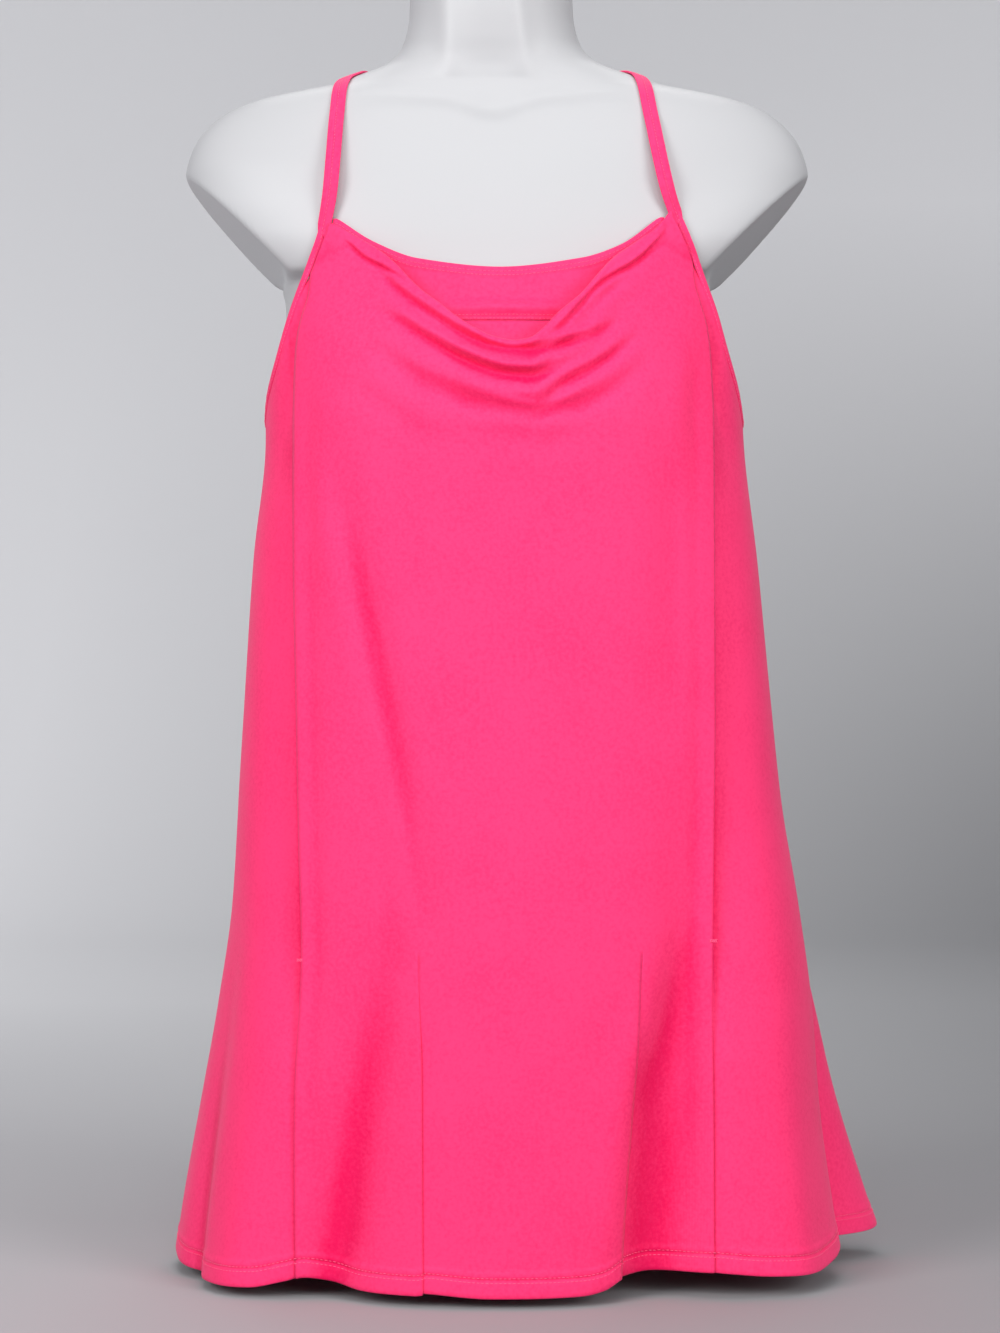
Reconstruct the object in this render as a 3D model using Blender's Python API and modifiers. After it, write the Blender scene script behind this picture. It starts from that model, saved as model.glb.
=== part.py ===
"""A swing tank top with a draped cowl front, on the limbless dress form that holds it up.

Metres, +Z up, the front faces -Y, and the origin is the middle of the form's flat base.
Cloth is worked out as outer faces, and Solidify gives it a wall towards the body.
"""

import math

import bmesh
import bpy
from mathutils import Matrix, Vector
from mathutils.bvhtree import BVHTree

# Cloth
WALL = 0.0012
SEAM_GAP = 0.0003
LAYER_GAP = 0.0005
INNER_GAP = 0.0016
FORM_GAP = 0.0012
RING_POWER = 2.4

# Hem and vents
HEM_Z = 0.006
VENT_TOP_Z = 0.222
VENT_LAP = 0.0020
VENT_STEP = 0.0013
SIDE_VENT_GAP = {-1: 0.0016, 1: 0.0004}
SEAM_STEP = 0.0020
SEAM_STEP_START = 0.020

# Straps and bindings
STRAP_WIDTH = 0.0098
STRAP_THICK = 0.0018
BINDING_WIDTH = 0.0060
BINDING_THICK = 0.0020
BINDING_RISE = 0.0004

# Cowl edge
# Radius of the cowl's rolled edge. Columns: distance from the middle, radius.
ROLL_RADII = (
    (-0.108, 0.0014),
    (-0.098, 0.0024),
    (-0.070, 0.0028),
    (-0.045, 0.0022),
    (-0.020, 0.0030),
    (0.015, 0.0036),
    (0.040, 0.0038),
    (0.070, 0.0044),
    (0.095, 0.0036),
    (0.108, 0.0016),
)
FACING_DEPTH = 0.011

# Inner front
YOKE_SEAM_Z = 0.617
INNER_HEM_Z = 0.505

# Mesh density
FORM_SIDES = 36
FRONT_COLUMNS = (6, 8, 5)
FRONT_ROWS = 30
ARM_STEPS = (5, 7, 9)
NECK_COLUMNS = 6
INNER_COLUMNS = 16
SIDE_ROWS = 26
BACK_ROWS = 22
STRAP_STEPS = 26

# Dress form, base to neck. Columns: height, half width, front, back, power of the section.
FORM_SECTIONS = (
    (0.000, 0.076, 0.056, 0.064, 2.4),
    (0.012, 0.088, 0.064, 0.074, 2.4),
    (0.050, 0.108, 0.076, 0.088, 2.4),
    (0.100, 0.126, 0.085, 0.097, 2.3),
    (0.150, 0.139, 0.090, 0.104, 2.3),
    (0.240, 0.151, 0.094, 0.110, 2.3),
    (0.330, 0.141, 0.090, 0.094, 2.3),
    (0.425, 0.117, 0.082, 0.076, 2.3),
    (0.495, 0.124, 0.090, 0.078, 2.4),
    (0.553, 0.134, 0.106, 0.083, 2.4),
    (0.595, 0.138, 0.103, 0.087, 2.4),
    (0.636, 0.139, 0.091, 0.088, 2.4),
    (0.648, 0.143, 0.088, 0.088, 2.4),
    (0.656, 0.168, 0.086, 0.087, 2.4),
    (0.680, 0.196, 0.082, 0.085, 2.4),
    (0.704, 0.2045, 0.077, 0.082, 2.4),
    (0.721, 0.205, 0.072, 0.079, 2.4),
    (0.738, 0.201, 0.065, 0.075, 2.4),
    (0.752, 0.192, 0.058, 0.071, 2.4),
    (0.764, 0.177, 0.051, 0.066, 2.4),
    (0.772, 0.158, 0.047, 0.062, 2.3),
    (0.777, 0.136, 0.045, 0.060, 2.2),
    (0.781, 0.114, 0.044, 0.058, 2.2),
    (0.788, 0.092, 0.044, 0.057, 2.1),
    (0.797, 0.070, 0.045, 0.056, 2.0),
    (0.808, 0.059, 0.047, 0.055, 2.0),
    (0.828, 0.054, 0.049, 0.054, 2.0),
    (0.858, 0.053, 0.050, 0.054, 2.0),
    (0.870, 0.050, 0.047, 0.051, 2.0),
    (0.875, 0.044, 0.041, 0.045, 2.0),
)
# The neck leans a little to the left. Columns: height, how far.
NECK_LEAN = ((0.780, 0.0), (0.810, -0.0035), (0.875, -0.0040))
ARMPIT = (0.139, 0.651)
SHOULDER_TIP = (0.205, 0.720)
ARM_CUT_TILT = 0.10

# Tank top, hem to shoulder. Columns: height, left half width, right half width, front, back.
CLOTH_SECTIONS = (
    (0.006, 0.206, 0.228, 0.119, 0.129),
    (0.047, 0.201, 0.221, 0.119, 0.127),
    (0.113, 0.191, 0.212, 0.120, 0.124),
    (0.179, 0.181, 0.207, 0.122, 0.120),
    (0.245, 0.173, 0.198, 0.124, 0.116),
    (0.311, 0.170, 0.187, 0.125, 0.112),
    (0.377, 0.166, 0.180, 0.126, 0.107),
    (0.470, 0.160, 0.171, 0.128, 0.103),
    (0.549, 0.152, 0.162, 0.129, 0.100),
    (0.576, 0.152, 0.161, 0.126, 0.097),
    (0.616, 0.152, 0.160, 0.117, 0.094),
    (0.656, 0.151, 0.158, 0.103, 0.0915),
    (0.680, 0.150, 0.156, 0.097, 0.0885),
    (0.700, 0.150, 0.155, 0.094, 0.0880),
)

# Seams and edges of the front. Columns: height, distance from the middle, left being negative.
SEAM_LEFT = (
    (0.006, -0.128),
    (0.125, -0.127),
    (0.217, -0.123),
    (0.283, -0.125),
    (0.378, -0.127),
    (0.467, -0.129),
    (0.543, -0.1295),
    (0.580, -0.1295),
    (0.598, -0.1290),
    (0.6113, -0.1276),
    (0.6226, -0.1250),
    (0.6380, -0.1204),
    (0.674, -0.1180),
)
SEAM_RIGHT = (
    (0.006, 0.1385),
    (0.223, 0.138),
    (0.378, 0.138),
    (0.537, 0.1380),
    (0.586, 0.1374),
    (0.600, 0.1366),
    (0.6141, 0.1348),
    (0.6327, 0.1298),
    (0.6440, 0.1266),
    (0.678, 0.1240),
)
VENT_LINES = (
    ((0.006, -0.0475), (0.240, -0.0490)),
    ((0.006, 0.0770), (0.060, 0.0800), (0.240, 0.0930)),
)

# Top edges. Columns: distance from the middle, height.
COWL_EDGE = (
    (-0.1061, 0.6817),
    (-0.0945, 0.6756),
    (-0.0865, 0.6707),
    (-0.0769, 0.6646),
    (-0.0686, 0.6582),
    (-0.0609, 0.6509),
    (-0.0539, 0.6430),
    (-0.0457, 0.6350),
    (-0.0356, 0.6273),
    (-0.0243, 0.6178),
    (-0.0130, 0.6104),
    (-0.0017, 0.6052),
    (0.0108, 0.6030),
    (0.0207, 0.6046),
    (0.0289, 0.6113),
    (0.0383, 0.6215),
    (0.0522, 0.6338),
    (0.0649, 0.6490),
    (0.0745, 0.6588),
    (0.0828, 0.6649),
    (0.0929, 0.6720),
    (0.1001, 0.6772),
    (0.1066, 0.6843),
    (0.1110, 0.6897),
)
INNER_EDGE = (
    (-0.101, 0.6845),
    (-0.078, 0.6695),
    (-0.049, 0.658),
    (0.002, 0.652),
    (0.053, 0.6585),
    (0.078, 0.6675),
    (0.103, 0.6855),
)
# Outer edge of the armhole's binding in front, from the strap down. Columns: across, height.
ARMHOLE_FRONT = {
    -1: (
        (-0.1128, 0.6815),
        (-0.1163, 0.6705),
        (-0.1232, 0.653),
        (-0.130, 0.6355),
        (-0.1367, 0.616),
        (-0.1430, 0.596),
        (-0.149, 0.5775),
        (-0.1519, 0.562),
    ),
    1: (
        (0.1165, 0.6900),
        (0.1205, 0.6820),
        (0.1250, 0.6715),
        (0.1350, 0.6446),
        (0.1408, 0.6288),
        (0.1485, 0.6034),
        (0.1560, 0.5810),
        (0.1609, 0.562),
    ),
}
# The same edge under the arm and up the back. Columns: turn in degrees from the front, height.
ARMHOLE_BACK = (
    (104.0, 0.561),
    (119.9, 0.575),
    (134.3, 0.594),
    (147.8, 0.617),
    (158.3, 0.643),
    (164.6, 0.668),
    (167.5, 0.684),
)
SIDE_SEAM_TURN = {-1: 99.0, 1: 97.0}
SIDE_SEAM_GAP = 0.16
BACK_NECK_DIP = 0.006

# How far the hem lifts. Columns: turn in degrees from the front, lift.
HEM_LIFTS = (
    (-180.0, 0.003),
    (-140.0, 0.006),
    (-112.0, 0.006),
    (-104.0, 0.006),
    (-97.0, 0.0055),
    (-90.0, 0.003),
    (-80.0, 0.0005),
    (-60.0, 0.000),
    (-45.0, 0.001),
    (-36.0, 0.006),
    (-33.0, 0.008),
    (-28.0, 0.006),
    (-20.0, 0.002),
    (-11.0, 0.0015),
    (-9.0, 0.003),
    (0.0, 0.0005),
    (10.0, 0.001),
    (13.0, 0.003),
    (16.0, 0.009),
    (22.0, 0.011),
    (33.0, 0.011),
    (45.0, 0.008),
    (60.0, 0.0065),
    (75.0, 0.010),
    (85.0, 0.0125),
    (97.0, 0.0125),
    (104.0, 0.0125),
    (112.0, 0.0145),
    (130.0, 0.008),
    (160.0, 0.002),
    (180.0, 0.003),
)

# Folds that run down the cloth. Columns: turn from the front in degrees at the fold's top and at
# the hem, height of its top, half width in degrees, how far it stands out at the hem.
LONG_FOLDS = (
    (0.0, 0.0, 0.50, 17.0, 0.012),
    (39.0, 22.5, 0.36, 8.0, -0.026),
    (60.0, 52.0, 0.30, 11.0, 0.009),
    (97.0, 97.0, 0.25, 6.0, -0.022),
    (112.0, 112.0, 0.25, 12.0, 0.056),
    (-16.0, -27.0, 0.30, 7.0, -0.013),
    (-48.0, -50.0, 0.26, 10.0, 0.007),
    (-72.0, -76.0, 0.26, 8.0, -0.014),
    (-98.0, -104.0, 0.30, 15.0, 0.013),
    (-128.0, -132.0, 0.34, 9.0, -0.012),
    (-150.0, -154.0, 0.40, 12.0, 0.015),
    (180.0, 180.0, 0.42, 11.0, -0.012),
    (148.0, 148.0, 0.36, 9.0, -0.010),
)
# Shallow drags that fade at both ends. Columns: height and turn at the top, height and turn at the
# foot, half width in degrees, depth.
DRAGS = (
    (0.52, -31.0, 0.20, -13.0, 6.0, -0.0035),
    (0.58, -22.0, 0.33, -4.0, 8.0, -0.0020),
    (0.56, 40.0, 0.34, 33.0, 6.0, -0.0025),
)
# How far a side panel drops beside its seam. Columns: height, depth.
SEAM_DROP = ((0.15, 0.000), (0.24, 0.006), (0.45, 0.008), (0.58, 0.007), (0.655, 0.000))
SEAM_DROP_START = 0.060
SEAM_DROP_NEAR = 0.004
SEAM_DROP_FAR = 0.030

# Cowl folds, below the edge. Columns: place from the edge (0) to the foot of the cowl (1),
# half width of the fold in the same measure, how far it stands out, shift of its middle to the right.
COWL_FOLDS = (
    (0.11, 0.060, -0.0080, 0.000),
    (0.22, 0.055, 0.0036, 0.002),
    (0.33, 0.060, -0.0066, 0.006),
    (0.47, 0.070, 0.0034, 0.008),
    (0.66, 0.095, -0.0048, 0.012),
    (0.86, 0.110, 0.0020, 0.014),
)
COWL_DEPTH_MIDDLE = 0.082
COWL_DEPTH_SIDE = 0.050
COWL_MIDDLE_X = 0.012
COWL_REACH = 0.100

# Strap routes over the form, front to back. Columns: across, along the depth, height.
STRAP_LEFT = (
    (-0.1080, -0.0800, 0.6825),
    (-0.1060, -0.0790, 0.706),
    (-0.1045, -0.0700, 0.730),
    (-0.1030, -0.0500, 0.760),
    (-0.0995, -0.0220, 0.781),
    (-0.0900, 0.0100, 0.793),
    (-0.0780, 0.0450, 0.786),
    (-0.0620, 0.0720, 0.760),
    (-0.0470, 0.0880, 0.725),
    (-0.0350, 0.0915, 0.6850),
)
STRAP_RIGHT = (
    (0.1112, -0.0800, 0.6912),
    (0.1083, -0.0790, 0.706),
    (0.1035, -0.0700, 0.730),
    (0.0985, -0.0500, 0.760),
    (0.0930, -0.0220, 0.781),
    (0.0840, 0.0100, 0.793),
    (0.0740, 0.0450, 0.786),
    (0.0610, 0.0720, 0.760),
    (0.0470, 0.0880, 0.725),
    (0.0350, 0.0915, 0.6850),
)

PINK = (0.93, 0.052, 0.235, 1.0)
PINK_INNER = (0.88, 0.042, 0.200, 1.0)
FORM_WHITE = (0.80, 0.80, 0.81, 1.0)


class Profile:
    """A smooth curve through rows of (place, value, ...), with no overshoot between rows."""

    def __init__(self, rows):
        self.places = [row[0] for row in rows]
        self.columns = [[row[k] for row in rows] for k in range(1, len(rows[0]))]
        self.slopes = [self.slopes_of(column) for column in self.columns]

    def slopes_of(self, column):
        pairs = zip(zip(self.places, column), zip(self.places[1:], column[1:]))
        steps = [(v1 - v0) / (p1 - p0) for (p0, v0), (p1, v1) in pairs]
        inner = [0.0 if a * b <= 0 else 2 * a * b / (a + b) for a, b in zip(steps, steps[1:])]
        return [steps[0], *inner, steps[-1]]

    def __call__(self, place):
        place = min(max(place, self.places[0]), self.places[-1])
        i = max(k for k in range(len(self.places) - 1) if self.places[k] <= place)
        span = self.places[i + 1] - self.places[i]
        s = (place - self.places[i]) / span
        found = []
        for column, slopes in zip(self.columns, self.slopes):
            start = column[i] * (1 + 2 * s) + slopes[i] * span * s
            end = column[i + 1] * (3 - 2 * s) - slopes[i + 1] * span * (1 - s)
            found.append(start * (1 - s) ** 2 + end * s * s)
        return found[0] if len(found) == 1 else found


FORM_AT = Profile(FORM_SECTIONS)
NECK_LEAN_AT = Profile(NECK_LEAN)
HEM_AT = Profile(HEM_LIFTS)
CLOTH_AT = Profile(CLOTH_SECTIONS)
SEAM_LEFT_AT = Profile(SEAM_LEFT)
SEAM_RIGHT_AT = Profile(SEAM_RIGHT)
VENTS_AT = [Profile(line) for line in VENT_LINES]
COWL_EDGE_AT = Profile(COWL_EDGE)
INNER_EDGE_AT = Profile(INNER_EDGE)
SEAM_DROP_AT = Profile(SEAM_DROP)
ROLL_AT = Profile(ROLL_RADII)


def blend(a, b, s):
    return a + (b - a) * s


def ease(s):
    s = min(max(s, 0.0), 1.0)
    return s * s * (3 - 2 * s)


def bump(distance, half_width):
    return math.exp(-((distance / half_width) ** 2))


def turned(difference):
    """An angle in degrees, brought to -180 to 180."""
    return (difference + 180.0) % 360.0 - 180.0


def oval(turn, half_left, half_right, front, back, power):
    """The point of a rounded section at a turn in degrees, 0 at the front and 90 at the right."""
    s, c = math.sin(math.radians(turn)), math.cos(math.radians(turn))
    across = half_right if s >= 0 else half_left
    depth = front if c >= 0 else back
    x = math.copysign(across * abs(s) ** (2 / power), s)
    y = -math.copysign(depth * abs(c) ** (2 / power), c)
    return Vector((x, y, 0))


def form_front(x, z):
    """How far forward the dress form reaches, as a negative y."""
    half, front, _, power = FORM_AT(z)
    return -front * max(1 - min(abs(x) / half, 1) ** power, 0) ** (1 / power)


def push_off_form(point, gap):
    """The point, moved out from the upright axis until it's that far outside the form."""
    half, front, back, power = FORM_AT(point.z)
    depth = front if point.y < 0 else back
    share = ((abs(point.x) / half) ** power + (abs(point.y) / depth) ** power) ** (1 / power)
    reach = math.hypot(point.x, point.y)
    least = 1 + gap / reach
    if share >= least:
        return point
    return Vector((point.x * least / share, point.y * least / share, point.z))


def push_forward(point, gap):
    """As push_off_form, but beside the straps in front the point moves straight forward."""
    round_about = push_off_form(point, gap)
    if point.y > 0 or point.z < 0.640:
        return round_about
    ahead = Vector((point.x, min(point.y, form_front(point.x, point.z) - 1.12 * gap), point.z))
    return round_about.lerp(ahead, ease((point.z - 0.640) / 0.020))


def turn_at(x, z):
    """The turn, from -90 to 90 degrees, at which the front of the cloth's section has this x."""
    left, right, _, _ = CLOTH_AT(z)
    share = min(abs(x) / (right if x >= 0 else left), 1.0)
    return math.copysign(math.degrees(math.asin(share ** (RING_POWER / 2))), x)


def long_folds(turn, z):
    """How far the folds that run down the cloth move it out."""
    out = 0.0
    for turn_top, turn_hem, top, half_width, stands in LONG_FOLDS:
        down = min(max((top - z) / (top - HEM_Z), 0.0), 1.0)
        middle = blend(turn_top, turn_hem, down)
        out += stands * down**1.15 * bump(turned(turn - middle), half_width)
    for top, turn_top, foot, turn_foot, half_width, depth in DRAGS:
        down = (top - z) / (top - foot)
        if 0 < down < 1:
            middle = blend(turn_top, turn_foot, down)
            out += depth * math.sin(math.pi * down) * bump(turned(turn - middle), half_width)
    return out


def section_point(turn, z):
    left, right, front, back = CLOTH_AT(z)
    point = oval(turn, left, right, front, back, RING_POWER)
    return Vector((point.x, point.y, z))


def section_normal(turn, z):
    """The level direction out of the cloth's section."""
    along = section_point(turn + 0.5, z) - section_point(turn - 0.5, z)
    return Vector((along.y, -along.x, 0)).normalized()


def cloth_point(turn, z, out=0.0, wall=WALL):
    """The outer face of the tank top."""
    moved = long_folds(turn, z) + out
    return push_forward(section_point(turn, z) + section_normal(turn, z) * moved, wall + FORM_GAP)


def section_turn(point):
    """The turn in degrees at which a point on or near the cloth's section lies."""
    left, right, front, back = CLOTH_AT(point.z)
    s = (abs(point.x) / (right if point.x >= 0 else left)) ** (RING_POWER / 2)
    c = (abs(point.y) / (front if point.y < 0 else back)) ** (RING_POWER / 2)
    return math.degrees(math.atan2(math.copysign(s, point.x), math.copysign(c, -point.y)))


def armhole_curve(side):
    """Turn and height along the outer edge of an armhole, over 0 (front strap) to 1 (back strap)."""
    places = [(abs(turn_at(x, z)), z) for x, z in ARMHOLE_FRONT[side]] + list(ARMHOLE_BACK)
    spans = [0.0]
    for (turn_0, z_0), (turn_1, z_1) in zip(places, places[1:]):
        step = section_point(side * turn_1, z_1) - section_point(side * turn_0, z_0)
        spans.append(spans[-1] + step.length)
    return Profile([(s / spans[-1], side * turn, z) for s, (turn, z) in zip(spans, places)])


ARMHOLES = {side: armhole_curve(side) for side in (-1, 1)}


def armhole_place(side, share, inset):
    """Turn and height at a share of an armhole's length, inset from its outer edge."""
    here = section_point(*ARMHOLES[side](share))
    along = section_point(*ARMHOLES[side](share + 0.01)) - section_point(*ARMHOLES[side](share - 0.01))
    inward = section_normal(*ARMHOLES[side](share)).cross(along.normalized()) * -side
    moved = here + inward * inset
    return section_turn(moved), moved.z


def panel_place(side, share):
    """Turn and height of the panels' edge beside an armhole's binding."""
    return armhole_place(side, share, BINDING_WIDTH + 2 * SEAM_GAP)


def first_past(test, low, high):
    """The least place between low and high from which test holds."""
    for _ in range(30):
        middle = (low + high) / 2
        if test(middle):
            high = middle
        else:
            low = middle
    return high


def front_limit(side):
    """Distance from the middle of the edge beside the binding, over height, in front."""
    places = [panel_place(side, 0.45 * k / 30) for k in range(31)]
    rows = [(z, abs(section_point(turn, z).x)) for turn, z in places if abs(turn) < 88]
    return Profile(sorted(rows))


FRONT_LIMITS = {side: front_limit(side) for side in (-1, 1)}
SEAMS = {-1: SEAM_LEFT_AT, 1: SEAM_RIGHT_AT}
SIDE_TOP_Z = {
    side: first_past(lambda z: FRONT_LIMITS[side](z) < abs(SEAMS[side](z)), 0.58, 0.67)
    for side in (-1, 1)
}


def front_seam(side, z):
    """Where the front panel meets the side panel or, higher up, the binding."""
    if z > SIDE_TOP_Z[side]:
        return side * FRONT_LIMITS[side](z)
    return SEAMS[side](z)


def arm_rows(side):
    """Shares of an armhole's length at which its rows lie: beside the front, the side, the back."""
    at_side = first_past(lambda t: abs(panel_place(side, t)[0]) > SIDE_SEAM_TURN[side], 0.1, 0.9)
    at_top = first_past(lambda t: panel_place(side, t)[1] < SIDE_TOP_Z[side], 0.0, at_side)
    ends = (0.004, at_top, at_side, 0.996)
    parts = []
    for low, high, count in zip(ends, ends[1:], ARM_STEPS):
        parts.append([blend(low, high, k / count) for k in range(count + 1)])
    return parts


ARM_ROWS = {side: arm_rows(side) for side in (-1, 1)}


def material(name, colour, roughness, sheen):
    made = bpy.data.materials.new(name)
    made.use_nodes = True
    shader = made.node_tree.nodes["Principled BSDF"]
    shader.inputs["Base Color"].default_value = colour
    shader.inputs["Roughness"].default_value = roughness
    shader.inputs["Metallic"].default_value = 0.0
    shader.inputs["Sheen Weight"].default_value = sheen
    made.diffuse_color = colour
    return made


def add_object(name, mesh_maker, finish, collection):
    """An object in the collection, with the mesh that mesh_maker fills in."""
    mesh = bpy.data.meshes.new(name)
    work = bmesh.new()
    mesh_maker(work)
    work.to_mesh(mesh)
    work.free()
    made = bpy.data.objects.new(name, mesh)
    collection.objects.link(made)
    mesh.materials.append(finish)
    return made


def add_wall(piece, thickness=WALL):
    wall = piece.modifiers.new("wall", "SOLIDIFY")
    wall.thickness = thickness
    wall.offset = -1.0
    return piece


def sheet(columns, rows, place, slits=None):
    """A mesh maker for a sheet, columns going right round the body and rows going down.

    place(column, row, side) gives a point. slits holds, for a column, the row at which it opens;
    below it the point left of the slit has side -1, and the one right of it has side 1.
    """
    slits = slits or {}

    def fill(work):
        made = {}

        def corner(column, row, side):
            if column not in slits or row <= slits[column]:
                side = 0
            key = (column, row, side)
            if key not in made:
                made[key] = work.verts.new(place(*key))
            return made[key]

        for i in range(columns):
            for j in range(rows):
                left_top, left_foot = corner(i, j, 1), corner(i, j + 1, 1)
                right_foot, right_top = corner(i + 1, j + 1, -1), corner(i + 1, j, -1)
                face = work.faces.new((left_top, left_foot, right_foot, right_top))
                face.smooth = True

    return fill


def form_ring(z, sides):
    half, front, back, power = FORM_AT(z)
    points = [oval(360.0 * k / sides, half, half, front, back, power) for k in range(sides)]
    return [Vector((p.x + NECK_LEAN_AT(z), p.y, z)) for p in points]


def form_heights():
    """Heights of the form's rings: its table's rows, and one between those that lie far apart."""
    heights = []
    for below, above in zip(FORM_SECTIONS, FORM_SECTIONS[1:]):
        heights.append(below[0])
        if above[0] - below[0] > 0.04:
            heights.append((below[0] + above[0]) / 2)
    return [*heights, FORM_SECTIONS[-1][0]]


def fill_form(work):
    rings = [[work.verts.new(p) for p in form_ring(z, FORM_SIDES)] for z in form_heights()]
    for low, high in zip(rings, rings[1:]):
        for k in range(FORM_SIDES):
            after = (k + 1) % FORM_SIDES
            work.faces.new((low[k], low[after], high[after], high[k])).smooth = True
    work.faces.new(list(reversed(rings[0])))
    work.faces.new(rings[-1])


def add_arm_cut(form, side, cutters):
    """Cuts the flat face where an arm would join, from the armpit to the shoulder's tip."""
    foot = Vector((side * ARMPIT[0], 0, ARMPIT[1]))
    tip = Vector((side * SHOULDER_TIP[0], 0, SHOULDER_TIP[1]))
    up = (tip - foot).normalized()
    away = Vector((side * up.z, 0, -abs(up.x))).normalized()
    away = (away + Vector((0, -ARM_CUT_TILT, 0))).normalized()
    depth = up.cross(away).normalized()
    size = 0.3
    box = bmesh.new()
    bmesh.ops.create_cube(box, size=size)
    turn = Matrix((up, away, depth)).transposed().to_4x4()
    centre = foot + up * size / 2 + away * size / 2
    bmesh.ops.transform(box, matrix=Matrix.Translation(centre) @ turn, verts=box.verts)
    bmesh.ops.recalc_face_normals(box, faces=box.faces)
    mesh = bpy.data.meshes.new("arm_cut")
    box.to_mesh(mesh)
    box.free()
    cutter = bpy.data.objects.new("arm_cut", mesh)
    cutter.hide_render = True
    cutter.display_type = "WIRE"
    cutters.objects.link(cutter)
    cut = form.modifiers.new("arm cut", "BOOLEAN")
    cut.operation = "DIFFERENCE"
    cut.object = cutter


def add_form(finish, collection, cutters):
    form = add_object("dress_form", fill_form, finish, collection)
    for side in (-1, 1):
        add_arm_cut(form, side, cutters)
    return form


def cowl_foot(x):
    """The height at which the cowl's folds end."""
    side = ease(abs(x - COWL_MIDDLE_X) / COWL_REACH)
    return COWL_EDGE_AT(x) - blend(COWL_DEPTH_MIDDLE, COWL_DEPTH_SIDE, side)


def cowl_folds(x, z):
    """How far the cowl's folds move the cloth out."""
    edge = COWL_EDGE_AT(x)
    down = (edge - z) / (edge - cowl_foot(x))
    out = 0.0
    for place, half_width, stands, shift in COWL_FOLDS:
        across = (x - COWL_MIDDLE_X - shift) / COWL_REACH
        fade = max(1 - across * across, 0.0) ** 1.5
        out += stands * fade * bump(down - place, half_width)
    return out


def cowl_fullness(x, z):
    """How far the cowl falls forward of the chest round its edge."""
    across = min(abs(x - COWL_MIDDLE_X) / COWL_REACH, 1.0)
    below = max(COWL_EDGE_AT(x) - z, 0.0)
    return 0.010 * (1 - across * across) ** 2 * bump(below, 0.05)


def front_point(x, z):
    """The outer face of the front panel."""
    turn = turn_at(x, z)
    point = cloth_point(turn, z, cowl_folds(x, z) + cowl_fullness(x, z))
    layers = FORM_GAP + WALL + LAYER_GAP + 2 * ROLL_AT(x)
    point.y = min(point.y, form_front(point.x, z) - layers)
    return point


def front_across(share, z):
    """The x at a share of the front panel's width, with the vents at fixed shares."""
    marks = [front_seam(-1, z) + SEAM_GAP / 2]
    marks += [vent(z) for vent in VENTS_AT]
    marks.append(front_seam(1, z) - SEAM_GAP / 2)
    total = sum(FRONT_COLUMNS)
    starts = [sum(FRONT_COLUMNS[:k]) / total for k in range(len(FRONT_COLUMNS) + 1)]
    k = max(n for n in range(len(FRONT_COLUMNS)) if starts[n] <= share + 1e-9)
    inside = (share - starts[k]) / (starts[k + 1] - starts[k])
    return blend(marks[k], marks[k + 1], inside)


def row_height(top, foot, share):
    """Rows that lie close together under the top edge and spread out below it."""
    return top + (foot - top) * (0.28 * share + 0.72 * share**2.2)


def hem_height(turn):
    """The height of the hem, which lifts a little with the folds."""
    return HEM_Z + HEM_AT(turned(turn))


def roll_points(edge, out, up, radius, facing, steps):
    """The section of a rolled edge, from its foot outside, over the top, to the facing's end."""
    centre = edge - up * radius - out * radius
    points = []
    for k in range(1, steps + 1):
        angle = math.pi * k / steps
        points.append(centre + (out * math.cos(angle) + up * math.sin(angle)) * radius)
    points.append(points[-1] - up * facing)
    return points


ROLL_STEPS = 4


def front_vertex(column, row, side):
    """A point of the front panel. Its first rows are the facing and the rolled cowl edge."""
    share = column / sum(FRONT_COLUMNS)
    x_top = front_across(share, 0.64)
    for _ in range(20):
        x_top = (x_top + front_across(share, COWL_EDGE_AT(x_top))) / 2
    top = COWL_EDGE_AT(x_top)
    radius = ROLL_AT(x_top)
    if row > ROLL_STEPS:
        down = (row - ROLL_STEPS - 1) / FRONT_ROWS
        z = row_height(top - radius, hem_height(turn_at(front_across(share, HEM_Z), HEM_Z)), down)
        x = front_across(share, z)
        point = front_point(x - side * VENT_LAP * ease((VENT_TOP_Z - z) / 0.08), z)
        return point + section_normal(turn_at(x, z), z) * edge_step(column, side, z)
    foot = front_point(x_top, top - radius)
    out = section_normal(turn_at(x_top, top), top)
    up = Vector((0, 0, 1))
    facing = blend(0.003, FACING_DEPTH, ease(1 - abs(x_top - COWL_MIDDLE_X) / COWL_REACH))
    section = roll_points(foot + up * radius, out, up, radius, facing, ROLL_STEPS)
    point = section[ROLL_STEPS - row]
    point.y = min(point.y, form_front(point.x, point.z) - FORM_GAP - WALL - LAYER_GAP)
    return point


def edge_step(column, side, z):
    """How far the two edges of a vent in the front part in depth."""
    if column in (0, sum(FRONT_COLUMNS)):
        return 0.0
    return -side * VENT_STEP * ease((VENT_TOP_Z - z) / 0.08)


def add_front(finish, collection):
    """The front panel: cowl, rolled edge and facing in one piece, with two vents."""
    rows = FRONT_ROWS + 1 + ROLL_STEPS
    middle = sum(FRONT_COLUMNS) // 2
    below_roll = range(ROLL_STEPS + 1, rows + 1)
    opening_row = next(row for row in below_roll if front_vertex(middle, row, 0).z < VENT_TOP_Z)
    slits = {FRONT_COLUMNS[0]: opening_row, sum(FRONT_COLUMNS[:2]): opening_row}
    maker = sheet(sum(FRONT_COLUMNS), rows, front_vertex, slits)
    return add_wall(add_object("front_panel", maker, finish, collection))


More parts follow.
